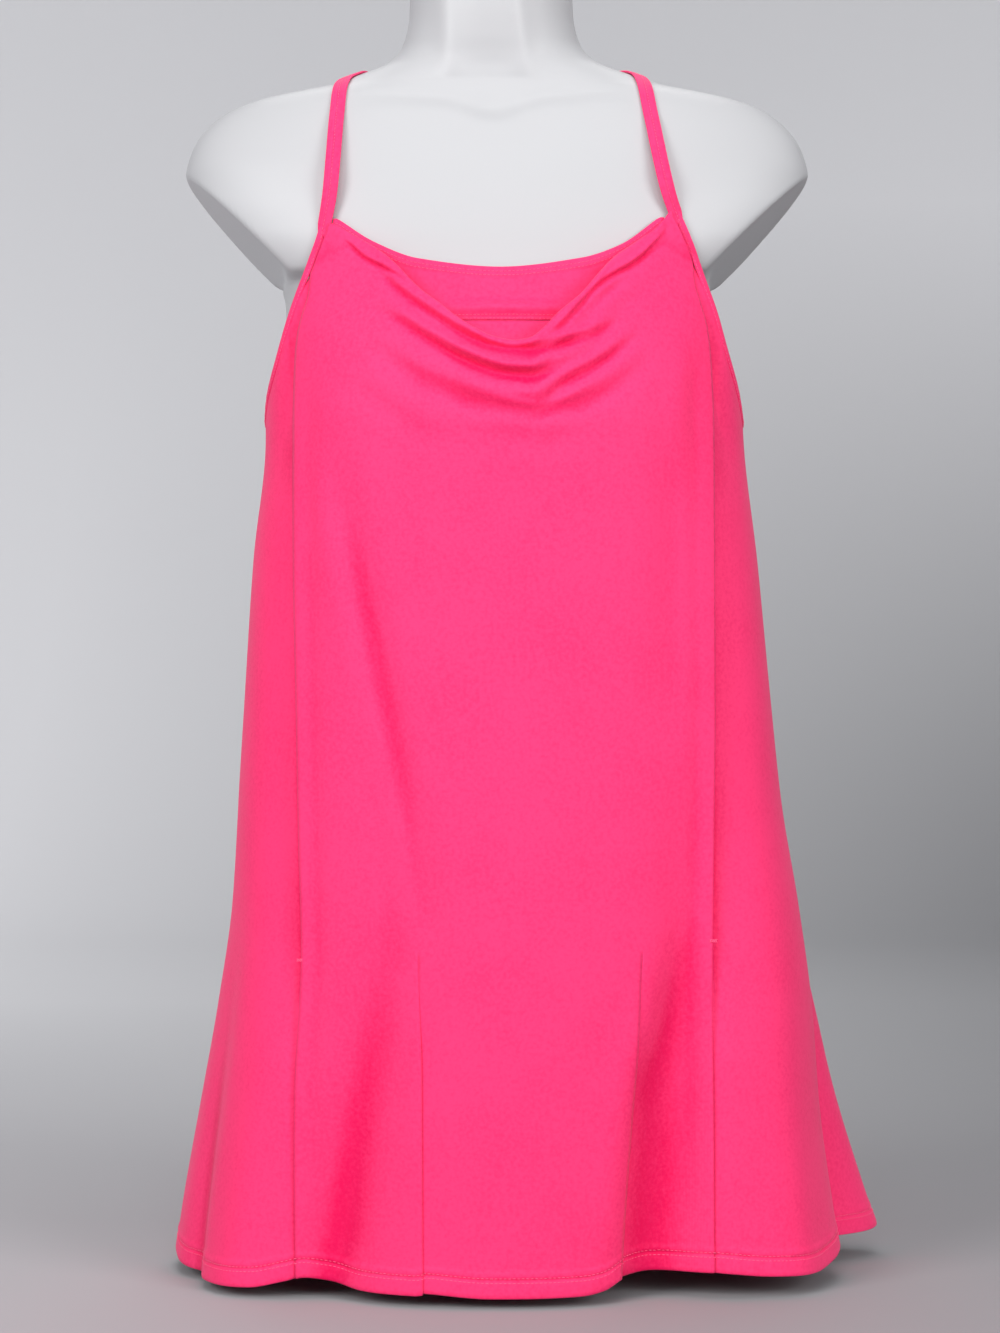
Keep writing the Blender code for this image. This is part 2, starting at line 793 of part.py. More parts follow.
def seam_drop(side, turn, z):
    """How far a side panel falls in beside the seam, where the front panel lies over it."""
    seam = section_point(turn_at(front_seam(side, z), z), z)
    away = (section_point(turn, z) - seam).length
    near = ease(away / SEAM_DROP_NEAR)
    return -SEAM_DROP_AT(z) * near * bump(max(away - SEAM_DROP_NEAR, 0), SEAM_DROP_FAR)


def side_maker(side):
    shares = ARM_ROWS[side][1]
    last = len(shares) - 1
    tops = [panel_place(side, share) for share in shares]

    def place(column, row, _):
        k = column if side > 0 else last - column
        top_turn, top = tops[k]
        down = row / SIDE_ROWS
        z = row_height(top, hem_height(side * blend(34, SIDE_SEAM_TURN[side], k / last)), down)
        seam_top = turn_at(front_seam(side, top), top)
        end = side * (SIDE_SEAM_TURN[side] - SIDE_SEAM_GAP / 2)
        share_top = (top_turn - seam_top) / (end - seam_top)
        share = blend(min(max(share_top, 0), 1), k / last, ease(3 * down))
        opening = SIDE_VENT_GAP[side] * ease((VENT_TOP_Z - z) / 0.03)
        seam = turn_at(front_seam(side, z) + side * (SEAM_GAP / 2 + opening), z)
        turn = blend(seam, end, share)
        below_top = ease((SIDE_TOP_Z[side] - z) / SEAM_STEP_START)
        step = SEAM_STEP * below_top if k == 0 else 0.0
        held = ease((top - z) / SEAM_DROP_START)
        return cloth_point(turn, z, held * seam_drop(side, turn, z) - step)

    return sheet(last, SIDE_ROWS, place)


def back_tops():
    """Turn and height of the back's top edge, from the right side seam round to the left one."""
    right = [panel_place(1, share) for share in ARM_ROWS[1][2]]
    left = [panel_place(-1, share) for share in reversed(ARM_ROWS[-1][2])]
    left = [(turn % 360, z) for turn, z in left]
    neck = []
    for k in range(1, NECK_COLUMNS):
        share = k / NECK_COLUMNS
        level = blend(right[-1][1], left[0][1], share)
        dip = BACK_NECK_DIP * (1 - (2 * share - 1) ** 2)
        neck.append((blend(right[-1][0], left[0][0], share), level - dip))
    return right + neck + left


def back_maker():
    tops = back_tops()
    last = len(tops) - 1
    start = SIDE_SEAM_TURN[1] + SIDE_SEAM_GAP / 2
    end = 360 - SIDE_SEAM_TURN[-1] - SIDE_SEAM_GAP / 2

    def place(column, row, _):
        top_turn, top = tops[column]
        down = row / BACK_ROWS
        turn = blend(min(max(top_turn, start), end), blend(start, end, column / last), ease(2 * down))
        foot = hem_height(blend(start, end, column / last))
        return cloth_point(turn, row_height(top, foot, down))

    return sheet(last, BACK_ROWS, place)


def binding_maker(side):
    """The tape round an armhole, from the front strap, under the arm, to the back strap."""
    front, under, back = ARM_ROWS[side]
    shares = front + under[1:] + back[1:]

    def place(column, row, _):
        inset = BINDING_WIDTH * (column if side < 0 else 2 - column) / 2
        turn, z = armhole_place(side, shares[row], inset)
        return cloth_point(turn, z, BINDING_RISE, BINDING_THICK)

    return sheet(2, len(shares) - 1, place)


def inner_point(x, z):
    """The outer face of the inner front, which lies on the form."""
    slope_x = (form_front(x + 0.001, z) - form_front(x - 0.001, z)) / 0.002
    slope_z = (form_front(x, z + 0.001) - form_front(x, z - 0.001)) / 0.002
    out = Vector((slope_x, -1, slope_z)).normalized()
    return Vector((x, form_front(x, z), z)) + out * (INNER_GAP + WALL)


def inner_maker(top_at, foot_at, rows):
    columns = INNER_COLUMNS

    def place(column, row, _):
        share = column / columns
        x_top = blend(INNER_EDGE[0][0], INNER_EDGE[-1][0], share)
        top, foot = top_at(x_top), foot_at(x_top)
        z = blend(top, foot, row / rows)
        return inner_point(x_top, z)

    return sheet(columns, rows, place)


def strap_point(route, share, over_form):
    """A point of a strap's middle line, on the form where it would sink into it, and its normal."""
    place = Vector(route(share))
    near, normal, _, _ = over_form.find_nearest(place)
    gap = (place - near).dot(normal)
    least = STRAP_THICK + FORM_GAP
    if gap < least:
        place = place + normal * (least - gap)
    return place, normal


def strap_maker(route_rows, over_form):
    """A strap as a closed band with eased long edges."""
    count = len(route_rows) - 1
    route = Profile([(k / count, *row) for k, row in enumerate(route_rows)])
    half = STRAP_WIDTH / 2
    section = (
        (-half, 0.35),
        (-half + 0.0016, 1.0),
        (half - 0.0016, 1.0),
        (half, 0.35),
        (half, -0.0),
        (-half, -0.0),
    )

    def fill(work):
        rings = []
        for k in range(STRAP_STEPS + 1):
            share = k / STRAP_STEPS
            here, normal = strap_point(route, share, over_form)
            ahead, _ = strap_point(route, min(share + 0.02, 1.0), over_form)
            behind, _ = strap_point(route, max(share - 0.02, 0.0), over_form)
            along = (ahead - behind).normalized()
            across = along.cross(normal).normalized()
            up = across.cross(along).normalized()
            foot = here - up * STRAP_THICK
            ring = [foot + across * w + up * STRAP_THICK * h for w, h in section]
            rings.append([work.verts.new(p) for p in ring])
        for low, high in zip(rings, rings[1:]):
            for k in range(len(section)):
                after = (k + 1) % len(section)
                work.faces.new((low[k], low[after], high[after], high[k])).smooth = k < 3
        work.faces.new(list(reversed(rings[0])))
        work.faces.new(rings[-1])
        bmesh.ops.recalc_face_normals(work, faces=work.faces)

    return fill


def main():
    for old in list(bpy.data.objects):
        bpy.data.objects.remove(old, do_unlink=True)
    garment = bpy.data.collections.new("tank_top_on_dress_form")
    cutters = bpy.data.collections.new("cutters")
    bpy.context.scene.collection.children.link(garment)
    bpy.context.scene.collection.children.link(cutters)
    jersey = material("pink jersey", PINK, 0.62, 0.3)
    inner_jersey = material("pink inner jersey", PINK_INNER, 0.68, 0.2)
    plastic = material("white plastic", FORM_WHITE, 0.35, 0.0)
    add_form(plastic, garment, cutters)
    add_front(jersey, garment)
    for side, name in ((-1, "left"), (1, "right")):
        add_wall(add_object(f"side_panel_{name}", side_maker(side), jersey, garment))
        binding = add_object(f"armhole_binding_{name}", binding_maker(side), jersey, garment)
        add_wall(binding, BINDING_THICK)
    add_wall(add_object("back_panel", back_maker(), jersey, garment))
    seam = YOKE_SEAM_Z
    upper = inner_maker(INNER_EDGE_AT, lambda x: seam + SEAM_GAP / 2, 8)
    add_wall(add_object("inner_front_top", upper, inner_jersey, garment))
    lower = inner_maker(lambda x: seam - SEAM_GAP / 2, lambda x: INNER_HEM_Z, 8)
    add_wall(add_object("inner_front_foot", lower, inner_jersey, garment))
    form_mesh = bmesh.new()
    fill_form(form_mesh)
    form_mesh.normal_update()
    over_form = BVHTree.FromBMesh(form_mesh)
    form_mesh.free()
    add_object("strap_left", strap_maker(STRAP_LEFT, over_form), jersey, garment)
    add_object("strap_right", strap_maker(STRAP_RIGHT, over_form), jersey, garment)


main()
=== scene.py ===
"""The looks of a cowl-front swing tank top on its limbless dress form.

The cloth follows the same sections, seams and folds as its solids, with finer creases on top.
"""

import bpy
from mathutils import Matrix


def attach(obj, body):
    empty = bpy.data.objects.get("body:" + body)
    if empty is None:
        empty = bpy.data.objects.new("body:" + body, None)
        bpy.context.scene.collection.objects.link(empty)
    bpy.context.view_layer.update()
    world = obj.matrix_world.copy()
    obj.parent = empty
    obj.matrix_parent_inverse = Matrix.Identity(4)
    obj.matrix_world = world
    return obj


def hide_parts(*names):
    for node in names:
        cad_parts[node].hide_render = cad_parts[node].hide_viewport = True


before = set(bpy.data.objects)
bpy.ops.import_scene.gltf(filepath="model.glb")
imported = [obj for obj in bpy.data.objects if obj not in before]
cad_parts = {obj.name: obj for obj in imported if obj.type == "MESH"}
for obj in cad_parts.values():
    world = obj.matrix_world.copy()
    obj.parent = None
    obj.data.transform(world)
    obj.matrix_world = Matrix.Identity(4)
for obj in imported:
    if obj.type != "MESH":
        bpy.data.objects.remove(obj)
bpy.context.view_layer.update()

import math

import bmesh
import bpy
import numpy as np
from mathutils import Vector
from mathutils.bvhtree import BVHTree

# Cloth
WALL = 0.0012
SEAM_GAP = 0.0003
LAYER_GAP = 0.0005
INNER_GAP = 0.0016
FORM_GAP = 0.0012
RING_POWER = 2.4
HEM_Z = 0.006
HEM_BAND = 0.0140
HEM_STEP = 0.00045
HEM_STEP_BLEND = 0.0012
HEM_ROLL = 0.0006
HEM_ROLL_WIDTH = 0.0012
HEM_PUCKER_PITCH = 0.0061
# The hem's wall beside its stitching. Columns: height over the band's top, half width, least and
# further distance out, the second one only where the cloth puckers.
HEM_WAVES = ((-0.0024, 0.0013, -0.0006, -0.0004), (0.0012, 0.0016, 0.0003, 0.0004))
# The shell's wall and how fast a long fold grows downward
SHELL_WALL = 0.0010
FOLD_GROWTH = 1.15
# Beside the straps the cloth is pushed straight forward, from this height up
FORWARD_FROM_Z = 0.640
FORWARD_BLEND = 0.020
FORWARD_SHARE = 1.12

# Vents
VENT_TOP_Z = 0.222
VENT_LAP = 0.0020
VENT_STEP = 0.0009
VENT_REACH = 0.0100
VENT_FADE = 0.08
SIDE_VENT_GAP = {-1: 0.0012, 1: 0.0003}
SIDE_VENT_OPENS_OVER = 0.03
# Below this height a side vent falls nearly shut again
SIDE_VENT_SHUTS_Z = 0.160
SIDE_VENT_SHUTS_OVER = 0.07
SIDE_VENT_LEFT_OPEN = 0.2
SEAM_STEP = 0.0020
SEAM_STEP_WIDTH = 0.004
# Pressed edge of the front along its seams, then the trough beside it. Columns: distance from the
# seam, half width, how far it stands out.
SEAM_LIPS = ((0.0, 0.004, 0.0007), (0.011, 0.005, -0.0009))
SEAM_LIP_TOP = (0.60, 0.05)
SEAM_LIP_FOOT = (0.02, 0.10)
# The side panels' edge under the front: shares of its width, its width, and its depth
UNDERLAP_SHARES = (1.0, 0.6, 0.3)
UNDERLAP = 0.0050
UNDERLAP_AT_VENT = 0.45
UNDERLAP_DEEP = 0.0034
UNDERLAP_SHALLOW = 0.0006
# The side panels' top edge, which reaches under the binding
TUCK_LAP = 0.0014
TUCK_DEPTH = 0.0013
TUCK_FADE = 0.0024
TUCK_PAST_TOP = 0.035
SIDE_HEM_TURN = 34

# Straps, bindings and the cowl's facing
STRAP_WIDTH = 0.0098
STRAP_THICK = 0.0018
BINDING_WIDTH = 0.0060
BINDING_THICK = 0.0018
BINDING_RISE = 0.0004
BINDING_PROUD = 0.0003
BINDING_CROWN = 0.0009
# Groove of the stitching across a binding. Columns: share of the width, half width, depth.
BINDING_GROOVE = (0.78, 0.09, 0.00035)
BINDING_RIPPLE = (0.60, 0.30, 0.0002)
FACING_DEPTH = 0.011
FACING_LEAST = 0.003
FACING_ROWS = (0.25, 0.5, 0.75, 1.0)
YOKE_SEAM_Z = 0.617
# The yoke's swell above its seam: how far out, its height and half width, its middle and reach
YOKE_SWELL = 0.0042
YOKE_SWELL_Z = 0.6245
YOKE_SWELL_WIDTH = 0.0046
YOKE_SWELL_X = 0.008
YOKE_SWELL_REACH = 0.052
INNER_HEM_Z = 0.505
INNER_HEM_BAND = 0.0065
INNER_BAND_STEP = 0.0004
INNER_PUCKER_PITCH = 0.0052
INNER_PULL = 0.0002
INNER_COLUMNS = 90
INNER_PAST_EDGE = 0.003
# Radius of the cowl's rolled edge. Columns: distance from the middle, radius.
ROLL_RADII = (
    (-0.108, 0.0014),
    (-0.098, 0.0024),
    (-0.070, 0.0028),
    (-0.045, 0.0022),
    (-0.020, 0.0030),
    (0.015, 0.0036),
    (0.040, 0.0038),
    (0.070, 0.0044),
    (0.095, 0.0036),
    (0.108, 0.0016),
)

# Dress form, base to neck. Columns: height, half width, front, back, power of the section.
FORM_SECTIONS = (
    (0.000, 0.076, 0.056, 0.064, 2.4),
    (0.012, 0.088, 0.064, 0.074, 2.4),
    (0.050, 0.108, 0.076, 0.088, 2.4),
    (0.100, 0.126, 0.085, 0.097, 2.3),
    (0.150, 0.139, 0.090, 0.104, 2.3),
    (0.240, 0.151, 0.094, 0.110, 2.3),
    (0.330, 0.141, 0.090, 0.094, 2.3),
    (0.425, 0.117, 0.082, 0.076, 2.3),
    (0.495, 0.124, 0.090, 0.078, 2.4),
    (0.553, 0.134, 0.106, 0.083, 2.4),
    (0.595, 0.138, 0.103, 0.087, 2.4),
    (0.636, 0.139, 0.091, 0.088, 2.4),
    (0.648, 0.143, 0.088, 0.088, 2.4),
    (0.656, 0.168, 0.086, 0.087, 2.4),
    (0.680, 0.196, 0.082, 0.085, 2.4),
    (0.704, 0.2045, 0.077, 0.082, 2.4),
    (0.721, 0.205, 0.072, 0.079, 2.4),
    (0.738, 0.201, 0.065, 0.075, 2.4),
    (0.752, 0.192, 0.058, 0.071, 2.4),
    (0.764, 0.177, 0.051, 0.066, 2.4),
    (0.772, 0.158, 0.047, 0.062, 2.3),
    (0.777, 0.136, 0.045, 0.060, 2.2),
    (0.781, 0.114, 0.044, 0.058, 2.2),
    (0.788, 0.092, 0.044, 0.057, 2.1),
    (0.797, 0.070, 0.045, 0.056, 2.0),
    (0.808, 0.059, 0.047, 0.055, 2.0),
    (0.828, 0.054, 0.049, 0.054, 2.0),
    (0.858, 0.053, 0.050, 0.054, 2.0),
    (0.870, 0.050, 0.047, 0.051, 2.0),
    (0.875, 0.044, 0.041, 0.045, 2.0),
)
# The neck leans a little to the left. Columns: height, how far.
NECK_LEAN = ((0.780, 0.0), (0.810, -0.0035), (0.875, -0.0040))
ARMPIT = (0.139, 0.651)
SHOULDER_TIP = (0.205, 0.720)
ARM_CUT_TILT = 0.10

# Tank top, hem to shoulder. Columns: height, left half width, right half width, front, back.
CLOTH_SECTIONS = (
    (0.006, 0.206, 0.228, 0.119, 0.129),
    (0.047, 0.201, 0.221, 0.119, 0.127),
    (0.113, 0.191, 0.212, 0.120, 0.124),
    (0.179, 0.181, 0.207, 0.122, 0.120),
    (0.245, 0.173, 0.198, 0.124, 0.116),
    (0.311, 0.170, 0.187, 0.125, 0.112),
    (0.377, 0.166, 0.180, 0.126, 0.107),
    (0.470, 0.160, 0.171, 0.128, 0.103),
    (0.549, 0.152, 0.162, 0.129, 0.100),
    (0.576, 0.152, 0.161, 0.126, 0.097),
    (0.616, 0.152, 0.160, 0.117, 0.094),
    (0.656, 0.151, 0.158, 0.103, 0.0915),
    (0.680, 0.150, 0.156, 0.097, 0.0885),
    (0.700, 0.150, 0.155, 0.094, 0.0880),
)

# Seams and edges of the front. Columns: height, distance from the middle, left being negative.
SEAM_LEFT = (
    (0.006, -0.128),
    (0.125, -0.127),
    (0.217, -0.123),
    (0.283, -0.125),
    (0.378, -0.127),
    (0.467, -0.129),
    (0.543, -0.1295),
    (0.580, -0.1295),
    (0.598, -0.1290),
    (0.6113, -0.1276),
    (0.6226, -0.1250),
    (0.6380, -0.1204),
    (0.674, -0.1180),
)
SEAM_RIGHT = (
    (0.006, 0.1385),
    (0.223, 0.138),
    (0.378, 0.138),
    (0.537, 0.1380),
    (0.586, 0.1374),
    (0.600, 0.1366),
    (0.6141, 0.1348),
    (0.6327, 0.1298),
    (0.6440, 0.1266),
    (0.678, 0.1240),
)
# Vents in the front, left and right. Columns: height, distance from the middle.
VENT_LINES = (
    ((0.006, -0.0475), (0.240, -0.0490)),
    ((0.006, 0.0770), (0.060, 0.0800), (0.240, 0.0930)),
)

# Top edges. Columns: distance from the middle, height.
COWL_EDGE = (
    (-0.1061, 0.6817),
    (-0.0945, 0.6756),
    (-0.0865, 0.6707),
    (-0.0769, 0.6646),
    (-0.0686, 0.6582),
    (-0.0609, 0.6509),
    (-0.0539, 0.6430),
    (-0.0457, 0.6350),
    (-0.0356, 0.6273),
    (-0.0243, 0.6178),
    (-0.0130, 0.6104),
    (-0.0017, 0.6052),
    (0.0108, 0.6030),
    (0.0207, 0.6046),
    (0.0289, 0.6113),
    (0.0383, 0.6215),
    (0.0522, 0.6338),
    (0.0649, 0.6490),
    (0.0745, 0.6588),
    (0.0828, 0.6649),
    (0.0929, 0.6720),
    (0.1001, 0.6772),
    (0.1066, 0.6843),
    (0.1110, 0.6897),
)
INNER_EDGE = (
    (-0.101, 0.6845),
    (-0.078, 0.6695),
    (-0.049, 0.658),
    (0.002, 0.652),
    (0.053, 0.6585),
    (0.078, 0.6675),
    (0.103, 0.6855),
)
# Outer edge of the armhole's binding in front, from the strap down. Columns: across, height.
ARMHOLE_FRONT = {
    -1: (
        (-0.1128, 0.6815),
        (-0.1163, 0.6705),
        (-0.1232, 0.653),
        (-0.130, 0.6355),
        (-0.1367, 0.616),
        (-0.1430, 0.596),
        (-0.149, 0.5775),
        (-0.1519, 0.562),
    ),
    1: (
        (0.1165, 0.6900),
        (0.1205, 0.6820),
        (0.1250, 0.6715),
        (0.1350, 0.6446),
        (0.1408, 0.6288),
        (0.1485, 0.6034),
        (0.1560, 0.5810),
        (0.1609, 0.562),
    ),
}
# The same edge under the arm and up the back. Columns: turn in degrees from the front, height.
ARMHOLE_BACK = (
    (104.0, 0.561),
    (119.9, 0.575),
    (134.3, 0.594),
    (147.8, 0.617),
    (158.3, 0.643),
    (164.6, 0.668),
    (167.5, 0.684),
)
SIDE_SEAM_TURN = {-1: 99.0, 1: 97.0}
SIDE_SEAM_GAP = 0.16
BACK_NECK_DIP = 0.006
BACK_NECK_SHARE = 0.996

# How far the hem lifts. Columns: turn in degrees from the front, lift.
HEM_LIFTS = (
    (-180.0, 0.003),
    (-140.0, 0.006),
    (-112.0, 0.006),
    (-104.0, 0.006),
    (-97.0, 0.0055),
    (-90.0, 0.003),
    (-80.0, 0.0005),
    (-60.0, 0.000),
    (-45.0, 0.001),
    (-36.0, 0.006),
    (-33.0, 0.008),
    (-28.0, 0.006),
    (-20.0, 0.002),
    (-11.0, 0.0015),
    (-9.0, 0.003),
    (0.0, 0.0005),
    (10.0, 0.001),
    (13.0, 0.003),
    (16.0, 0.009),
    (22.0, 0.011),
    (33.0, 0.011),
    (45.0, 0.008),
    (60.0, 0.0065),
    (75.0, 0.010),
    (85.0, 0.0125),
    (97.0, 0.0125),
    (104.0, 0.0125),
    (112.0, 0.0145),
    (130.0, 0.008),
    (160.0, 0.002),
    (180.0, 0.003),
)

# Folds that run down the cloth. Columns: turn from the front in degrees at the fold's top and at
# the hem, height of its top, half width in degrees, how far it stands out at the hem.
LONG_FOLDS = (
    (0.0, 0.0, 0.50, 17.0, 0.012),
    (39.0, 22.5, 0.36, 8.0, -0.026),
    (60.0, 52.0, 0.30, 11.0, 0.009),
    (97.0, 97.0, 0.25, 6.0, -0.022),
    (112.0, 112.0, 0.275, 12.0, 0.056),
    (-16.0, -27.0, 0.30, 7.0, -0.013),
    (-48.0, -50.0, 0.26, 10.0, 0.007),
    (-72.0, -76.0, 0.26, 8.0, -0.010),
    (-98.0, -104.0, 0.30, 15.0, 0.013),
    (-128.0, -132.0, 0.34, 9.0, -0.012),
    (-150.0, -154.0, 0.40, 12.0, 0.015),
    (180.0, 180.0, 0.42, 11.0, -0.012),
    (148.0, 148.0, 0.36, 9.0, -0.010),
)
# Shallow drags that fade at both ends. Columns: height and turn at the top, height and turn at the
# foot, half width in degrees, depth.
DRAGS = (
    (0.52, -31.0, 0.20, -13.0, 6.0, -0.0035),
    (0.58, -22.0, 0.33, -4.0, 8.0, -0.0020),
    (0.56, 40.0, 0.34, 33.0, 6.0, -0.0025),
)
# How far a side panel drops beside its seam. Columns: height, depth.
SEAM_DROP = ((0.15, 0.000), (0.24, 0.006), (0.45, 0.008), (0.58, 0.007), (0.655, 0.000))
SEAM_DROP_START = 0.060
SEAM_DROP_NEAR = 0.004
SEAM_DROP_FAR = 0.030

# Cowl folds, below the edge. Columns: place from the edge (0) to the foot of the cowl (1),
# half width of the fold in the same measure, how far it stands out, shift of its middle to the right.
COWL_FOLDS = (
    (0.11, 0.060, -0.0080, 0.000),
    (0.22, 0.055, 0.0036, 0.002),
    (0.33, 0.060, -0.0066, 0.006),
    (0.47, 0.070, 0.0034, 0.008),
    (0.66, 0.095, -0.0048, 0.012),
    (0.86, 0.110, 0.0020, 0.014),
)
COWL_DEPTH_MIDDLE = 0.082
COWL_DEPTH_SIDE = 0.050
COWL_MIDDLE_X = 0.012
COWL_REACH = 0.100
COWL_FOLD_SHARE = 0.12
COWL_FULLNESS = 0.010
COWL_FULLNESS_DEPTH = 0.05

# Strap routes over the form, front to back. Columns: across on the left, across on the right,
# along the depth, height.
STRAP_ROUTES = (
    (-0.1060, 0.1083, -0.0790, 0.706),
    (-0.1045, 0.1035, -0.0700, 0.730),
    (-0.1030, 0.0985, -0.0500, 0.760),
    (-0.0995, 0.0930, -0.0220, 0.781),
    (-0.0900, 0.0840, 0.0100, 0.793),
    (-0.0780, 0.0740, 0.0450, 0.786),
    (-0.0620, 0.0610, 0.0720, 0.760),
    (-0.0470, 0.0470, 0.0880, 0.725),
    (-0.0350, 0.0350, 0.0915, 0.6850),
)

# Creases that only the looks have. Rows of a line: across, height, strength. After them come the
# half width and how far its lit side, the one to the left of the line, stands out.
FRONT_CREASES = (
    # Under the cowl's rim
    (
        (
            (-0.0770, 0.6582, 0), (-0.0720, 0.6513, 0.15), (-0.0651, 0.6419, 0.4),
            (-0.0588, 0.6363, 0.55), (-0.0519, 0.6306, 0.7), (-0.0394, 0.6212, 0.85),
            (-0.0256, 0.6118, 0.85), (-0.0124, 0.6049, 0.9), (0.0014, 0.6006, 1),
            (0.0177, 0.5993, 1), (0.0340, 0.6012, 0.9), (0.0490, 0.6056, 0.7),
            (0.0634, 0.6112, 0.4), (0.0760, 0.6181, 0),
        ),
        0.0036,
        0.0032,
    ),
    # Under its second fold
    (
        (
            (-0.0783, 0.6294, 0), (-0.0676, 0.6225, 0.2), (-0.0557, 0.6156, 0.5),
            (-0.0419, 0.6062, 0.8), (-0.0312, 0.5993, 0.9), (-0.0206, 0.5937, 1),
            (-0.0068, 0.5880, 1), (0.0064, 0.5843, 1), (0.0202, 0.5836, 0.9), (0.0302, 0.5855, 0.6),
            (0.0396, 0.5893, 0.3), (0.0490, 0.5937, 0),
        ),
        0.0046,
        0.0036,
    ),
    # A short crease between them
    (
        (
            (-0.0576, 0.6275, 0), (-0.0482, 0.6212, 0.6), (-0.0381, 0.6143, 1),
            (-0.0281, 0.6075, 0.9), (-0.0181, 0.6018, 0.5), (-0.0080, 0.5980, 0),
        ),
        0.0022,
        0.0009,
    ),
    # The third fold, which leans to the right
    (
        (
            (0.0271, 0.5692, 0), (0.0333, 0.5730, 0.5), (0.0421, 0.5786, 0.9), (0.0553, 0.5861, 1),
            (0.0691, 0.5949, 0.8), (0.0797, 0.6037, 0.4), (0.0898, 0.6112, 0),
        ),
        0.0048,
        0.0024,
    ),
    # Its crest
    (
        (
            (0.0569, 0.5784, 0), (0.0469, 0.5721, 0.4), (0.0344, 0.5659, 0.8), (0.0245, 0.5640, 1),
            (0.0120, 0.5659, 0.6), (-0.0005, 0.5696, 0),
        ),
        0.0032,
        0.0011,
    ),
    # The broad sag under the cowl
    (
        (
            (-0.0800, 0.6070, 0), (-0.0650, 0.5950, 0.4), (-0.0490, 0.5845, 0.7),
            (-0.0312, 0.5750, 0.85), (-0.0140, 0.5685, 1), (0.0020, 0.5645, 1),
            (0.0208, 0.5630, 1), (0.0396, 0.5642, 1), (0.0553, 0.5686, 0.9), (0.0703, 0.5765, 0.7),
            (0.0835, 0.5870, 0.4), (0.0960, 0.6000, 0),
        ),
        0.0080,
        0.0024,
    ),
    # A second one below it
    (
        (
            (-0.0267, 0.5560, 0), (-0.0080, 0.5500, 0.6), (0.0207, 0.5463, 0.9), (0.0424, 0.5482, 0.6),
            (0.0600, 0.5550, 0),
        ),
        0.011,
        0.0010,
    ),
    # A slant under the left bust
    (
        (
            (-0.0916, 0.5859, 0), (-0.0816, 0.5759, 0.7), (-0.0691, 0.5659, 1), (-0.0554, 0.5559, 0.8),
            (-0.0379, 0.5459, 0.4), (-0.0230, 0.5397, 0),
        ),
        0.01,
        0.0008,
    ),
    # Beside the rim on the right
    (
        (
            (0.0371, 0.6087, 0), (0.0471, 0.6156, 0.6), (0.0540, 0.6244, 0.9),
            (0.0603, 0.6319, 0.8), (0.0691, 0.6382, 0.5), (0.0804, 0.6444, 0),
        ),
        0.0046,
        0.0016,
    ),
    # Under the rolled rim on the right
    (
        (
            (0.0307, 0.6062, 0), (0.0382, 0.6118, 0.7), (0.0433, 0.6178, 0.9), (0.0497, 0.6256, 1),
            (0.0585, 0.6367, 1), (0.0649, 0.6421, 1), (0.0738, 0.6481, 1), (0.0840, 0.6542, 1),
            (0.0911, 0.6597, 1), (0.0985, 0.6670, 1), (0.1039, 0.6727, 0.9), (0.1082, 0.6789, 0.6),
            (0.1110, 0.6846, 0.2),
        ),
        0.0024,
        0.0022,
    ),
    # Under the rolled rim on the left
    (
        (
            (-0.1074, 0.6770, 0.3), (-0.1009, 0.6727, 0.5), (-0.0928, 0.6676, 0.8), (-0.0832, 0.6589, 1),
            (-0.0704, 0.6519, 1), (-0.0634, 0.6477, 0.5), (-0.0570, 0.6430, 0),
        ),
        0.0018,
        0.0018,
    ),
    # Down the left of the front
    (
        (
            (-0.0450, 0.2159, 0), (-0.0512, 0.2534, 0.6), (-0.0669, 0.3411, 1), (-0.0913, 0.4419, 1),
            (-0.1025, 0.4976, 0.7), (-0.1138, 0.5502, 0),
        ),
        0.011,
        0.0013,
    ),
    # Beside the right seam, high up
    (
        (
            (0.1180, 0.5150, 0), (0.1192, 0.5450, 0.8), (0.1208, 0.5775, 1), (0.1230, 0.5980, 0.5),
            (0.1240, 0.6150, 0),
        ),
        0.009,
        0.0007,
    ),
    # Down the right of the front
    (
        (
            (0.0804, 0.0219, 0.7), (0.0812, 0.0519, 1), (0.0892, 0.1359, 1), (0.1011, 0.1723, 0.8),
            (0.1192, 0.2532, 0),
        ),
        0.015,
        0.003,
    ),
)

PINK = (1.0, 0.040, 0.180, 1.0)
# The darker pink below is both the knit's mottle and painted shade in creases and on faces turned down
PINK_MOTTLE_AND_SHADE = (0.80, 0.001, 0.090, 1.0)
PINK_THREAD = (1.0, 0.095, 0.270, 1.0)
FORM_WHITE = (0.475, 0.475, 0.485, 1.0)
FLOOR_GREY = (0.50, 0.50, 0.515, 1.0)
BACKDROP_GREY = (0.72, 0.72, 0.735, 1.0)


# Curves and sections


class Profile:
    """A smooth curve through rows of (place, value, ...), with no overshoot between rows."""

    def __init__(self, rows):
        rows = np.array(rows, float)
        self.places, self.values = rows[:, 0], rows[:, 1:]
        steps = np.diff(self.values, axis=0) / np.diff(self.places)[:, None]
        before, after = steps[:-1], steps[1:]
        total = np.where(before * after > 0, before + after, 1.0)
        inner = np.where(before * after > 0, 2 * before * after / total, 0.0)
        self.slopes = np.vstack([steps[:1], inner, steps[-1:]])

    def __call__(self, place):
        place = np.clip(np.asarray(place, float), self.places[0], self.places[-1])
        i = np.clip(np.searchsorted(self.places, place, side="right") - 1, 0, len(self.places) - 2)
        span = (self.places[i + 1] - self.places[i])[..., None]
        s = ((place - self.places[i])[..., None]) / span
        start = self.values[i] * (1 + 2 * s) + self.slopes[i] * span * s
        end = self.values[i + 1] * (3 - 2 * s) - self.slopes[i + 1] * span * (1 - s)
        found = start * (1 - s) ** 2 + end * s * s
        return found[..., 0] if found.shape[-1] == 1 else np.moveaxis(found, -1, 0)


